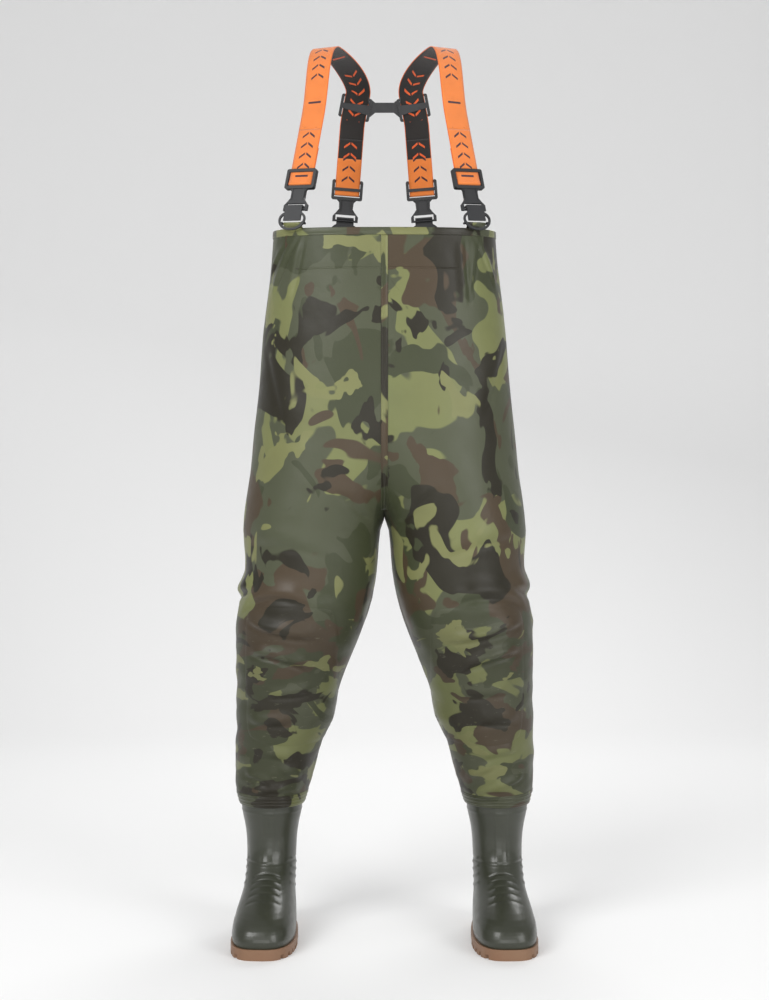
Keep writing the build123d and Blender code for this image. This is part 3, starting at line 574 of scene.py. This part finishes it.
def moulded(name, colour, worn, roughness, grain=700.0, depth=0.00010, coat=0.0):
    """Moulded plastic or rubber with fine grain, uneven gloss and rubbed high spots."""
    shader = Shader(name, roughness, coat=coat, specular=0.5)
    place = shader.place()
    cloud = shader.noise(place, 22.0, 4.0)
    tint = shader.mix(shader.span(cloud, 0.0, 0.5), colour, worn)
    scratch = shader.noise(shader.moved(place, (0, 0, 0), (1, 6, 1), (0.4, 0.2, 0.7)), 160.0, 5.0, 0.7)
    tint = shader.mix(shader.math("MULTIPLY", shader.step(scratch, 0.67, 0.05), 0.25), tint, worn)
    shader.set("Base Color", tint)
    shader.set("Roughness", shader.span(shader.noise(place, 60.0, 4.0), roughness - 0.10, roughness + 0.14))
    fine = shader.bump(shader.noise(place, grain, 3.0), depth, 0.5)
    shader.set("Normal", shader.bump(cloud, 0.0015, 0.2, fine))
    return shader.material


def felt(name, colour):
    """Short grey felt."""
    shader = Shader(name, 0.95, sheen=0.5, specular=0.2)
    place = shader.place()
    fibre = shader.noise(place, 600.0, 5.0, 0.75, 1.0)
    shader.set("Base Color", shader.mix(fibre, colour, linear("8B8B86")))
    shader.set("Normal", shader.bump(fibre, 0.0006, 0.8))
    return shader.material


CAMO = {"left": camouflage("camo_pvc_left", (2.3, 0.0, 0.35)), "right": camouflage("camo_pvc_right", (8.9, 4.0, 1.20))}
TRIM_CAMO = camouflage("camo_trim", (5.3, 2.0, 0.8), 0.34)
LINING = moulded("pvc_lining", linear("4A4E3C"), linear("5C604C"), 0.6, 900.0, 0.0002)
ORANGE = webbing("orange_webbing", linear("F5873A"), linear("3B2430"), linear("E06A22"))
BLACK_WEB = webbing("black_webbing", linear("232120"), linear("E2602C"), linear("E8702F"))
PLASTIC = moulded("black_plastic", linear("1F2022"), linear("3A3B3D"), 0.42)
BOOT_RUBBER = moulded("boot_pvc", linear("2A2C22"), linear("3E4135"), 0.32, 500.0, 0.00008, 0.15)
GUM = moulded("gum_sole", linear("7A573F"), linear("8A7158"), 0.5)
FELT = felt("insole_felt", linear("55554F"))

# ---------------------------------------------------------------- bib and legs
AROUND = 167
UP = 260
SURE = np.linspace(-1, 1, AROUND)


def surface_heights(s, nominal):
    """Heights that follow the tilted top edge near the top and are level lower down."""
    _, y, _, _, _ = lookup(s, nominal)
    top = (BIB_FRONT_HEIGHT + BIB_BACK_HEIGHT) / 2
    share = smooth(nominal, 1060, top)
    return nominal + (edge_height(y) - top) * share


def half(side):
    """One half of the bib with its leg: a single cut of fabric closed by the inseam."""
    top = (BIB_FRONT_HEIGHT + BIB_BACK_HEIGHT) / 2
    nominal = np.linspace(top, LEG_BOTTOM, UP)
    s, h = np.meshgrid(SURE, nominal)
    h = surface_heights(s, h)
    points = fabric_point(side, s, h)
    _, _, _, _, girth = lookup(s, h)
    uv = np.stack([s * girth * MM, h * MM], -1)
    obj = grid_object(f"bib_and_leg_{side}", points, uv, flip=side == "left")
    obj.data.materials.append(CAMO[side])
    thicken(obj, FABRIC * MM)
    obj.data.materials.append(LINING)
    obj.modifiers["Thickness"].material_offset = 1
    obj.modifiers["Thickness"].material_offset_rim = 0
    finish_piece(obj, None, "wader", "camo_pvc", f"front_panel_{side}", f"back_panel_{side}")
    return obj


def top_line(s, drop):
    """Heights a distance below the bib's top edge."""
    top = np.full_like(s, (BIB_FRONT_HEIGHT + BIB_BACK_HEIGHT) / 2)
    _, y, _, _, _ = lookup(s, top)
    return edge_height(y) - drop


def hem():
    """Folded and welded band round the bib's edge, with a pressed line near its foot."""
    section = ((13.4, 0.2), (13.0, 0.9), (12.0, 1.3), (11.0, 1.0), (10.2, 1.0), (9.4, 1.3), (5.0, 1.5),
               (1.5, 1.5), (0.0, 1.3), (-0.9, 0.4), (-1.1, -0.8), (-0.9, -2.0), (0.0, -2.9), (1.5, -3.1))
    s = np.linspace(-1, 1, 181)
    rows = []
    for drop, out in section:
        h = top_line(s, drop)
        left = fabric_point("left", s, h, out)
        right = fabric_point("right", s, h, out)[::-1]
        rows.append(np.concatenate([left, right[1:-1]]))
    points = np.array(rows)
    obj = grid_object("bib_hem_band", points, closed=True, flip=False)
    thicken(obj, 0.0003)
    return finish_piece(obj, TRIM_CAMO, "wader", "camo_pvc", "bib_hem")


def seam_tape():
    """Lap tape over the centre seam, front and back, with a bead along each edge."""
    profile = ((-6.5, 0.2), (-6.3, 1.2), (-5.4, 1.6), (-4.4, 1.1), (0.0, 1.0), (4.4, 1.1), (5.4, 1.6), (6.3, 1.2), (6.5, 0.2))
    meshes = []
    for back in (False, True):
        face = 1 if back else -1
        top = BIB_BACK_HEIGHT if back else BIB_FRONT_HEIGHT
        heights = np.linspace(top - HEM_HEIGHT - 0.5, CROTCH_HEIGHT + HEM_HEIGHT, 150)
        columns = []
        for x, out in profile:
            side = "left" if x > 0 else "right"
            s = np.array([s_at(abs(x), h, back) for h in heights])
            columns.append(fabric_point(side, s, heights, out))
        points = np.stack(columns, 1)
        meshes.append(grid_object(f"tape_{'back' if back else 'front'}", points, flip=face < 0))
    obj = meshes[0]
    with bpy.context.temp_override(active_object=obj, selected_editable_objects=meshes, object=obj):
        bpy.ops.object.join()
    obj.name = "centre_seam_lap_tape"
    thicken(obj, 0.0003)
    return finish_piece(obj, TRIM_CAMO, "wader", "camo_pvc", "centre_seam_tape")


def pocket_weld(side, reach):
    """Bead on the bib's front where the inner pocket is welded, from the middle out to reach."""
    x = np.linspace(0, reach, 70)
    rows = []
    for rise, out in ((-1.8, 0.0), (-1.0, 0.7), (0.0, 1.0), (1.0, 0.7), (1.8, 0.0)):
        height = 1270.0 + rise
        s = np.array([s_at(value, height) for value in x])
        rows.append(fabric_point(side, s, np.full_like(s, height), out))
    obj = grid_object(f"pocket_weld_line_{side}", np.array(rows), flip=side == "right")
    return finish_piece(obj, CAMO[side], "wader", "camo_pvc")


def knee_patch(side):
    """Second layer over the knee with a bowed top edge and a pressed border."""
    a, b = np.meshgrid(np.linspace(-1, 1, 61), np.linspace(1, -1, 81))
    x = 176 + 88 * a * (1 - 0.10 * np.abs(b) ** 9)
    h = 508 + 128 * b * (1 - 0.05 * np.abs(a) ** 6) - 10 * (1 - a * a) * (b < 0) * b * b
    s = np.array([s_at(xx, hh) for xx, hh in zip(x.ravel(), h.ravel())]).reshape(x.shape)
    edge = np.maximum(np.abs(a), np.abs(b) ** 1.4)
    out = 1.1 - 0.7 * np.exp(-(((edge - 0.955) / 0.012) ** 2)) - 0.9 * smooth(edge, 0.985, 1.0)
    obj = grid_object(f"knee_patch_{side}_layer", fabric_point(side, s, h, out), flip=side == "left")
    return finish_piece(obj, CAMO[side], "wader", "camo_pvc", f"knee_patch_{side}")


def joint_band(side):
    """Band welded over the leg's foot, pressed in three lines."""
    s = np.linspace(-1, 1, 121)
    rows = []
    for k in range(40):
        share = k / 39
        height = LEG_BOTTOM + 26 * (1 - share) + 3 * np.sin(math.pi * s + 0.5) * (1 - share)
        out = 0.2 + 1.0 * smooth(share, 0, 0.05) * smooth(-share, -1, -0.95)
        for line in (0.22, 0.5, 0.78):
            out += 0.9 * math.exp(-(((share - line) / 0.035) ** 2))
        rows.append(fabric_point(side, s, height, out))
    points = np.array(rows)
    obj = grid_object(f"boot_band_{side}", points, flip=side == "left")
    return finish_piece(obj, TRIM_CAMO, "wader", "camo_pvc", f"boot_joint_band_{side}")


def pocket():
    """Sheet welded inside the bib on three sides and hanging open at its top."""
    a, b = np.meshgrid(np.linspace(-1, 1, 91), np.linspace(0, 1, 50))
    x = 147.5 * a
    h = 1269.0 - 178.0 * b
    s = np.array([s_at(abs(xx), hh) for xx, hh in zip(x.ravel(), h.ravel())]).reshape(x.shape)
    edge = (1 - np.abs(a) ** 8) * (1 - b**6)
    slack = 1 + 0.10 * np.sin(9 * a + 5 * b) + 0.08 * np.sin(14 * a - 3 * b)
    out = -3.4 - 9.6 * edge * slack * (0.8 + 0.2 * np.cos(4 * b))
    left = fabric_point("left", s, h, out)
    right = fabric_point("right", s, h, out)
    points = np.where((a >= 0)[..., None], left, right)
    obj = thicken(grid_object("inner_pocket_sheet", points), 0.0010)
    finish_piece(obj, LINING, "wader", "pvc_lining", "inner_pocket")
    return obj


# ---------------------------------------------------------------- boots
LEG_CENTRE = 220.0
ANKLE_Y = 12.5
TOE_OUT_DEG = 2.5
SOLE_TOE_Y = -211.0
HEEL_BACK_Y = 81.0
SHAFT_FRONT_Y = ANKLE_Y - 71.5
SHAFT_BACK_Y = ANKLE_Y + 71.5
SHAFT_TOP = 262.0
# height, front, back, half width at the toe end and at the heel end, and a fullness power
BOOT = [
    (20.0, SOLE_TOE_Y, HEEL_BACK_Y, 69.0, 40.0, 0.65),
    (32.0, SOLE_TOE_Y - 1, HEEL_BACK_Y + 1, 70.0, 41.0, 0.65),
    (50.0, SOLE_TOE_Y + 6, HEEL_BACK_Y + 2, 67.0, 43.0, 0.68),
    (66.0, SOLE_TOE_Y + 24, HEEL_BACK_Y, 62.0, 45.0, 0.74),
    (82.0, SOLE_TOE_Y + 56, HEEL_BACK_Y - 3, 55.0, 46.0, 0.80),
    (100.0, SHAFT_FRONT_Y - 56, HEEL_BACK_Y - 6, 49.0, 47.0, 0.88),
    (120.0, SHAFT_FRONT_Y - 23, HEEL_BACK_Y - 7, 47.5, 47.5, 0.95),
    (150.0, SHAFT_FRONT_Y - 1, HEEL_BACK_Y - 7, 47.5, 47.5, 1.0),
    (183.0, SHAFT_FRONT_Y + 5, HEEL_BACK_Y - 6, 49.0, 49.0, 1.0),
    (206.0, SHAFT_FRONT_Y + 4, SHAFT_BACK_Y - 6, 52.0, 52.0, 1.0),
    (235.0, SHAFT_FRONT_Y + 1, SHAFT_BACK_Y - 1, 58.0, 58.0, 1.0),
    (SHAFT_TOP, SHAFT_FRONT_Y, SHAFT_BACK_Y, 60.0, 60.0, 1.0),
]


def boot_relief(angle, height):
    """Moulded ribs, grooves and edges of the boot, in mm; angle is 0 at the heel, pi at the toe."""
    front = np.abs(np.abs(angle) - math.pi)
    out = 0.9 * smooth(-front, -0.26, -0.20) * smooth(height, 142, 146)  # shin strip
    out = out + 0.8 * smooth(height, 20, 34) * smooth(-height, -60, -52) * smooth(-front, -1.25, -1.15)
    for level in (90, 99, 108, 117, 126):
        line = level - 26 * front**2
        out -= 1.8 * np.exp(-(((height - line) / 1.6) ** 2)) * smooth(-front, -0.62, -0.5)
    out -= 1.4 * np.exp(-(((height - 141) / 1.5) ** 2))
    side = np.abs(np.abs(angle) - math.pi / 2 - 0.1)
    for k in range(4):
        line = 96 + 13 * k + 22 * (np.abs(angle) - math.pi / 2)
        out += 1.3 * np.exp(-(((height - line) / 2.6) ** 2)) * smooth(-side, -0.5, -0.36)
    heel = smooth(-np.abs(angle), -0.8, -0.68) * smooth(-height, -96, -88) * smooth(height, 36, 40)
    out += 1.3 * heel
    out += 1.2 * np.exp(-(((height - 236) / 2.0) ** 2)) * 0.6
    return out


def boot(side):
    """Moulded PVC boot from the sole up into the leg, hollow, with its floor."""
    sign = 1 if side == "left" else -1
    fine = np.array(refined(BOOT, 8.0))
    heights = np.concatenate([np.linspace(20, 135, 110), np.linspace(136, SHAFT_TOP, 60)])
    angle = np.linspace(-math.pi, math.pi, 145)[:-1]
    rows = []
    for height in heights:
        front, back, toe, heel, power = [np.interp(height, fine[:, 0], fine[:, i]) for i in range(1, 6)]
        toe_share = (1 - np.cos(angle)) / 2
        width = heel + (toe - heel) * toe_share
        x = np.sign(np.sin(angle)) * width * np.abs(np.sin(angle)) ** power
        y = (front + back) / 2 + (back - front) / 2 * np.cos(angle)
        dx = np.roll(x, -1) - np.roll(x, 1)
        dy = np.roll(y, -1) - np.roll(y, 1)
        size = np.hypot(dx, dy) + 1e-9
        out = boot_relief(angle, height)
        rows.append(np.stack([x - dy / size * out, y + dx / size * out, np.full_like(x, height)], -1))
    points = np.array(rows)
    turn = math.radians(TOE_OUT_DEG)
    x, y = points[..., 0].copy(), points[..., 1] - ANKLE_Y
    points[..., 0] = sign * (LEG_CENTRE + x * math.cos(turn) - y * math.sin(turn)) * MM
    points[..., 1] = (ANKLE_Y + x * math.sin(turn) + y * math.cos(turn)) * MM + BIB_Y
    points[..., 2] *= MM
    obj = grid_object(f"boot_shell_{side}", points, closed=True, flip=side == "left")
    count = len(angle)
    mesh = obj.data
    centre = points[0].mean(0)
    inner = centre + (points[0] - centre) * 0.5
    mesh.vertices.add(count + 1)
    start = len(heights) * count
    for i, place in enumerate(inner):
        mesh.vertices[start + i].co = place
    mesh.vertices[start + count].co = centre
    return obj, start, count


def boot_piece(side):
    obj, start, count = boot(side)
    old = obj.data
    places = [tuple(v.co) for v in old.vertices]
    faces = [tuple(p.vertices) for p in old.polygons]
    for i in range(count):
        j = (i + 1) % count
        ring = (i, j, start + j, start + i)
        fan = (start + i, start + j, start + count)
        faces += [ring[::-1], fan[::-1]] if side == "right" else [ring, fan]
    mesh = bpy.data.meshes.new(old.name)
    mesh.from_pydata(places, [], faces)
    mesh.polygons.foreach_set("use_smooth", [True] * len(faces))
    obj.data = mesh
    thicken(obj, 0.0035)
    return finish_piece(obj, BOOT_RUBBER, "wader", "boot_rubber", f"boot_upper_{side}")


# ---------------------------------------------------------------- webbing
WEB_WIDTH = 0.050
WEB = 0.0016
RUN_LOW = 0.0825
RUN_TOP = 0.164
STRAIGHT_TOP = 0.190
BAR_ABOVE_PIVOT = 0.028


def joint(name):
    return next(j for j in frame["joints"] if j["name"] == name)


class Seat:
    """Directions and places of one clip, read from the joints."""

    def __init__(self, place, side):
        self.across = Vector(joint(f"{place}_ring_{side}_tip")["axis"])
        self.up = Vector(joint(f"{place}_clip_{side}_slide")["axis"])
        self.out = self.across.cross(self.up).normalized()
        self.pivot = Vector(joint(f"{place}_ring_{side}_tip")["pos_m"])
        self.bar = self.pivot + self.up * BAR_ABOVE_PIVOT

    def at(self, up, out=0.0):
        return self.bar + self.up * up + self.out * out


def ribbon(name, path, outs, width, thickness, start=0.0, rows_across=9, materials=()):
    """A strap along a path: outer face, inner face and rounded edges, with UV in metres."""
    places = [Vector(p) for p in path]
    run = [start]
    for a, b in zip(places, places[1:]):
        run.append(run[-1] + (b - a).length)
    half_width = width / 2
    section = []
    for k in range(rows_across):
        section.append((half_width * (2 * k / (rows_across - 1) - 1) * 0.985, 0.5))
    section = [(-half_width, 0.0)] + section + [(half_width, 0.0)]
    section += [(x, -0.5) for x, _ in reversed(section[1:-1])]
    count = len(section)
    rows, coordinates = [], []
    for i, place in enumerate(places):
        along = (places[min(i + 1, len(places) - 1)] - places[max(i - 1, 0)]).normalized()
        out = Vector(outs[i])
        out = (out - along * out.dot(along)).normalized()
        aside = along.cross(out)
        rows.append([place + aside * x + out * (t * thickness) for x, t in section])
        coordinates.append([(x, run[i]) for x, _ in section])
    points = np.array([[tuple(p) for p in row] for row in rows])
    obj = grid_object(name, points, np.array(coordinates), closed=True, caps=True)
    mesh = obj.data
    for material in materials:
        mesh.materials.append(material)
    index = []
    for polygon in range(len(mesh.polygons)):
        column = polygon % count
        index.append(0 if column < rows_across + 1 else 1)
    mesh.polygons.foreach_set("material_index", index)
    return obj


def bend_between(a, leaving, b, arriving, steps, arrival=0.37):
    """Points of a smooth span that leaves a and arrives at b in the given directions."""
    span = (b - a).length
    c, d = a + leaving * span * 0.40, b - arriving * span * arrival
    points = []
    for k in range(steps):
        t = k / steps
        points.append(a * (1 - t) ** 3 + c * 3 * t * (1 - t) ** 2 + d * 3 * t * t * (1 - t) + b * t**3)
    return points


YOKE_LEAN = (-0.210, -0.250, 1.0)
YOKE_BEND = 0.012
YOKE_REACH = 0.026
SHOULDER = (0.108, 0.004, 1.719)
CROSSING = (-0.35, 1.0, 0.0)
ARRIVAL = 0.20


def straight(a, b, step=0.004):
    count = max(2, math.ceil((b - a).length / step))
    return [a.lerp(b, k / count) for k in range(count)]


def strap(side, sign):
    """Webbing over the shoulder, from the front run to the rear run."""
    front, rear = Seat("front", side), Seat("rear", side)
    yoke_up = Vector((YOKE_LEAN[0] * sign, YOKE_LEAN[1], YOKE_LEAN[2])).normalized()
    yoke_out = (Vector((0, 1, 0)) - yoke_up * yoke_up.y).normalized()
    bend = (yoke_up + rear.up).normalized()
    centre = rear.at(STRAIGHT_TOP) + bend * YOKE_BEND + yoke_up * YOKE_REACH
    high, low = centre + yoke_up * YOKE_REACH, centre - yoke_up * YOKE_REACH
    begin = front.at(STRAIGHT_TOP)
    apex = Vector((SHOULDER[0] * sign, SHOULDER[1] + BIB_Y, SHOULDER[2]))
    over = Vector((CROSSING[0] * sign, CROSSING[1], CROSSING[2])).normalized()
    arch = bend_between(begin, front.up, apex, over, 60) + bend_between(apex, over, high, -yoke_up, 60, ARRIVAL)
    path = straight(front.at(RUN_TOP), begin)
    outs = [front.out] * len(path)
    top = Vector((0, 0, 1))
    for k, place in enumerate(arch):
        share = k / len(arch)
        path.append(place)
        if share < 0.5:
            outs.append(front.out * (1 - 2 * share) + top * (2 * share))
        else:
            outs.append(top * (2 - 2 * share) + yoke_out * (2 * share - 1))
    for a, b in ((high, low), (low, rear.at(STRAIGHT_TOP)), (rear.at(STRAIGHT_TOP), rear.at(RUN_TOP))):
        span = straight(a, b)
        path += span
        outs += [yoke_out if a == high else rear.out] * len(span)
    path.append(rear.at(RUN_TOP))
    outs.append(rear.out)
    obj = ribbon(f"shoulder_strap_{side}", path, outs, WEB_WIDTH, WEB, RUN_TOP, materials=(ORANGE, BLACK_WEB))
    return finish_piece(obj, None, "suspenders", "orange_webbing", f"strap_{side}")


def run(place, side):
    """The straight stretch of webbing above a clip."""
    seat = Seat(place, side)
    path = straight(seat.at(RUN_LOW), seat.at(RUN_TOP)) + [seat.at(RUN_TOP)]
    obj = ribbon(f"{place}_webbing_run_{side}", path, [seat.out] * len(path), WEB_WIDTH, WEB, RUN_LOW,
                 materials=(ORANGE, BLACK_WEB))
    finish_piece(obj, None, "suspenders", "orange_webbing", f"{place}_run_{side}")
    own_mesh(obj)
    return obj


FOLD_HEIGHT = 0.0531
FOLD_OUT = -0.00095
FOLD_REACH = 0.00245
TAIL_OUT = -0.0019
TAIL_TOP = 0.125


def webbing_end(place, side):
    """Webbing through the slider: down the outside, round the rod and up the inside."""
    seat = Seat(place, side)
    profile = [(0.0, RUN_LOW - 0.0002 - 0.003 * k) for k in range(6)]
    profile += [(0.0005, FOLD_HEIGHT + 0.006), (0.0012, FOLD_HEIGHT + 0.003)]
    for k in range(13):
        turn = -math.pi * k / 12
        profile.append((FOLD_OUT + FOLD_REACH * math.cos(turn), FOLD_HEIGHT + FOLD_REACH * math.sin(turn)))
    profile += [(-0.0029, FOLD_HEIGHT + 0.003), (-0.0024, FOLD_HEIGHT + 0.006)]
    profile += [(TAIL_OUT, FOLD_HEIGHT + 0.009 + 0.0035 * k) for k in range(18)]
    profile.append((TAIL_OUT, TAIL_TOP))
    path = [seat.at(up, out) for out, up in profile]
    outs = []
    for i in range(len(profile)):
        a, b = profile[max(i - 1, 0)], profile[min(i + 1, len(profile) - 1)]
        out, up = b[0] - a[0], b[1] - a[1]
        outs.append(seat.out * -up + seat.up * out)
    obj = ribbon(f"{place}_webbing_tail_{side}", path, outs, WEB_WIDTH, WEB, 0.0, materials=(ORANGE, BLACK_WEB))
    return finish_piece(obj, None, f"{place}_clip_{side}_body", "orange_webbing", f"{place}_webbing_end_{side}")


TAB_WIDTH = 0.038
TAB_REACH = 0.0026


def inside_wall(seat, side, drop, depth):
    """A place inside the bib's wall below the ring, in metres; drop and depth are in mm."""
    back = seat.pivot.y > BIB_Y
    height = seat.pivot.z / MM - 9.0 - drop
    s = s_at(abs(seat.pivot.x) / MM, height, back)
    return Vector(fabric_point(side, np.array([s]), np.array([height]), -depth)[0])


def tab(place, side):
    """Strip of camouflage PVC welded inside the bib and looped round the ring's bar."""
    seat = Seat(place, side)
    drops = [4 + 4 * k for k in range(10)]
    outer = [inside_wall(seat, side, drop, 4.6) for drop in drops]
    inner = [inside_wall(seat, side, drop, 5.8) for drop in drops]
    loop = []
    for k in range(17):
        turn = math.pi * k / 16
        loop.append(seat.pivot + seat.out * (TAB_REACH * math.cos(turn)) + seat.up * (TAB_REACH * math.sin(turn)))
    rise = bend_between(outer[0], Vector((0, 0, 1)), loop[0], seat.up, 8)
    fall = bend_between(loop[-1], -seat.up, inner[0], Vector((0, 0, -1)), 8)
    path = outer[:0:-1] + rise + loop[:-1] + fall + inner
    outs = []
    for i in range(len(path)):
        along = path[min(i + 1, len(path) - 1)] - path[max(i - 1, 0)]
        outs.append(seat.across.cross(along) * -1.0)
    obj = ribbon(f"{place}_loop_tab_{side}", path, outs, TAB_WIDTH, 0.0010, rows_across=5,
                 materials=(TRIM_CAMO, TRIM_CAMO))
    return finish_piece(obj, None, "wader", "camo_pvc", f"{place}_tab_{side}")


# ---------------------------------------------------------------- build
halves = {side: half(side) for side, _ in SIDES}
hem_band = hem()
tape = seam_tape()
welds = {"left": pocket_weld("left", 137), "right": pocket_weld("right", 163)}
knees = {side: knee_patch(side) for side, _ in SIDES}
bands = {side: joint_band(side) for side, _ in SIDES}
pocket()
for side, sign in SIDES:
    boot_piece(side)
    strap(side, sign)
    for place in PLACES:
        run(place, side)
        webbing_end(place, side)
        tab(place, side)

for name, obj in frame["nodes"].items():
    if obj.hide_render:
        continue
    if name.startswith("outsole"):
        material, width = GUM, 0.0010
    elif name.startswith("insole"):
        material, width = FELT, 0.0010
    else:
        material, width = PLASTIC, 0.0005
    obj.data.materials.clear()
    obj.data.materials.append(material)
    soften(obj, width)

# ---------------------------------------------------------------- floor, light and camera
BACKDROP = Shader("backdrop", 0.9, specular=0.1)
BACKDROP.set("Base Color", (0.86, 0.86, 0.86, 1.0))


def stage_set():
    """Pale floor that curves up into a pale wall well behind the object."""
    profile = [(-4.0, 0.0), (2.5, 0.0)]
    for k in range(1, 17):
        turn = math.pi / 2 * k / 16
        profile.append((2.5 + 1.5 * math.sin(turn), 1.5 - 1.5 * math.cos(turn)))
    profile.append((4.0, 6.0))
    points = np.array([[(-6.0, y, z), (6.0, y, z)] for y, z in profile])
    obj = grid_object("studio_floor", points, flip=True)
    obj.data.materials.append(BACKDROP.material)


def area_light(name, place, target, size, power):
    light = bpy.data.lights.new(name, "AREA")
    light.shape = "RECTANGLE"
    light.size, light.size_y = size
    light.energy = power
    obj = bpy.data.objects.new(name, light)
    bpy.context.scene.collection.objects.link(obj)
    obj.location = place
    obj.rotation_euler = (Vector(target) - Vector(place)).to_track_quat("-Z", "Y").to_euler()


stage_set()
area_light("key", (-2.2, -3.0, 2.9), (0, 0, 0.85), (2.2, 2.2), 105)
area_light("fill", (2.6, -2.8, 1.7), (0, 0, 0.8), (2.0, 2.4), 60)
area_light("front_low", (0.0, -3.8, 0.7), (0, 0, 0.4), (2.4, 1.0), 22)
area_light("back", (0.5, 2.6, 3.0), (0, 0, 1.0), (3.0, 1.5), 60)
world = bpy.data.worlds.new("Studio")
bpy.context.scene.world = world
world.use_nodes = True
world.node_tree.nodes["Background"].inputs[0].default_value = (1.0, 1.0, 1.0, 1.0)
world.node_tree.nodes["Background"].inputs[1].default_value = 0.45
bpy.context.scene.view_settings.view_transform = "Standard"

CAMERA_DISTANCE = 3.10
CAMERA_HEIGHT = 0.838
camera_data = bpy.data.cameras.new("camera")
camera_data.lens = 57.2
camera_data.sensor_width = 36.0
camera = bpy.data.objects.new("camera", camera_data)
bpy.context.scene.collection.objects.link(camera)
camera.location = (0.0, BIB_Y - CAMERA_DISTANCE, CAMERA_HEIGHT)
camera.rotation_euler = (math.pi / 2, 0.0, 0.0)
bpy.context.scene.camera = camera
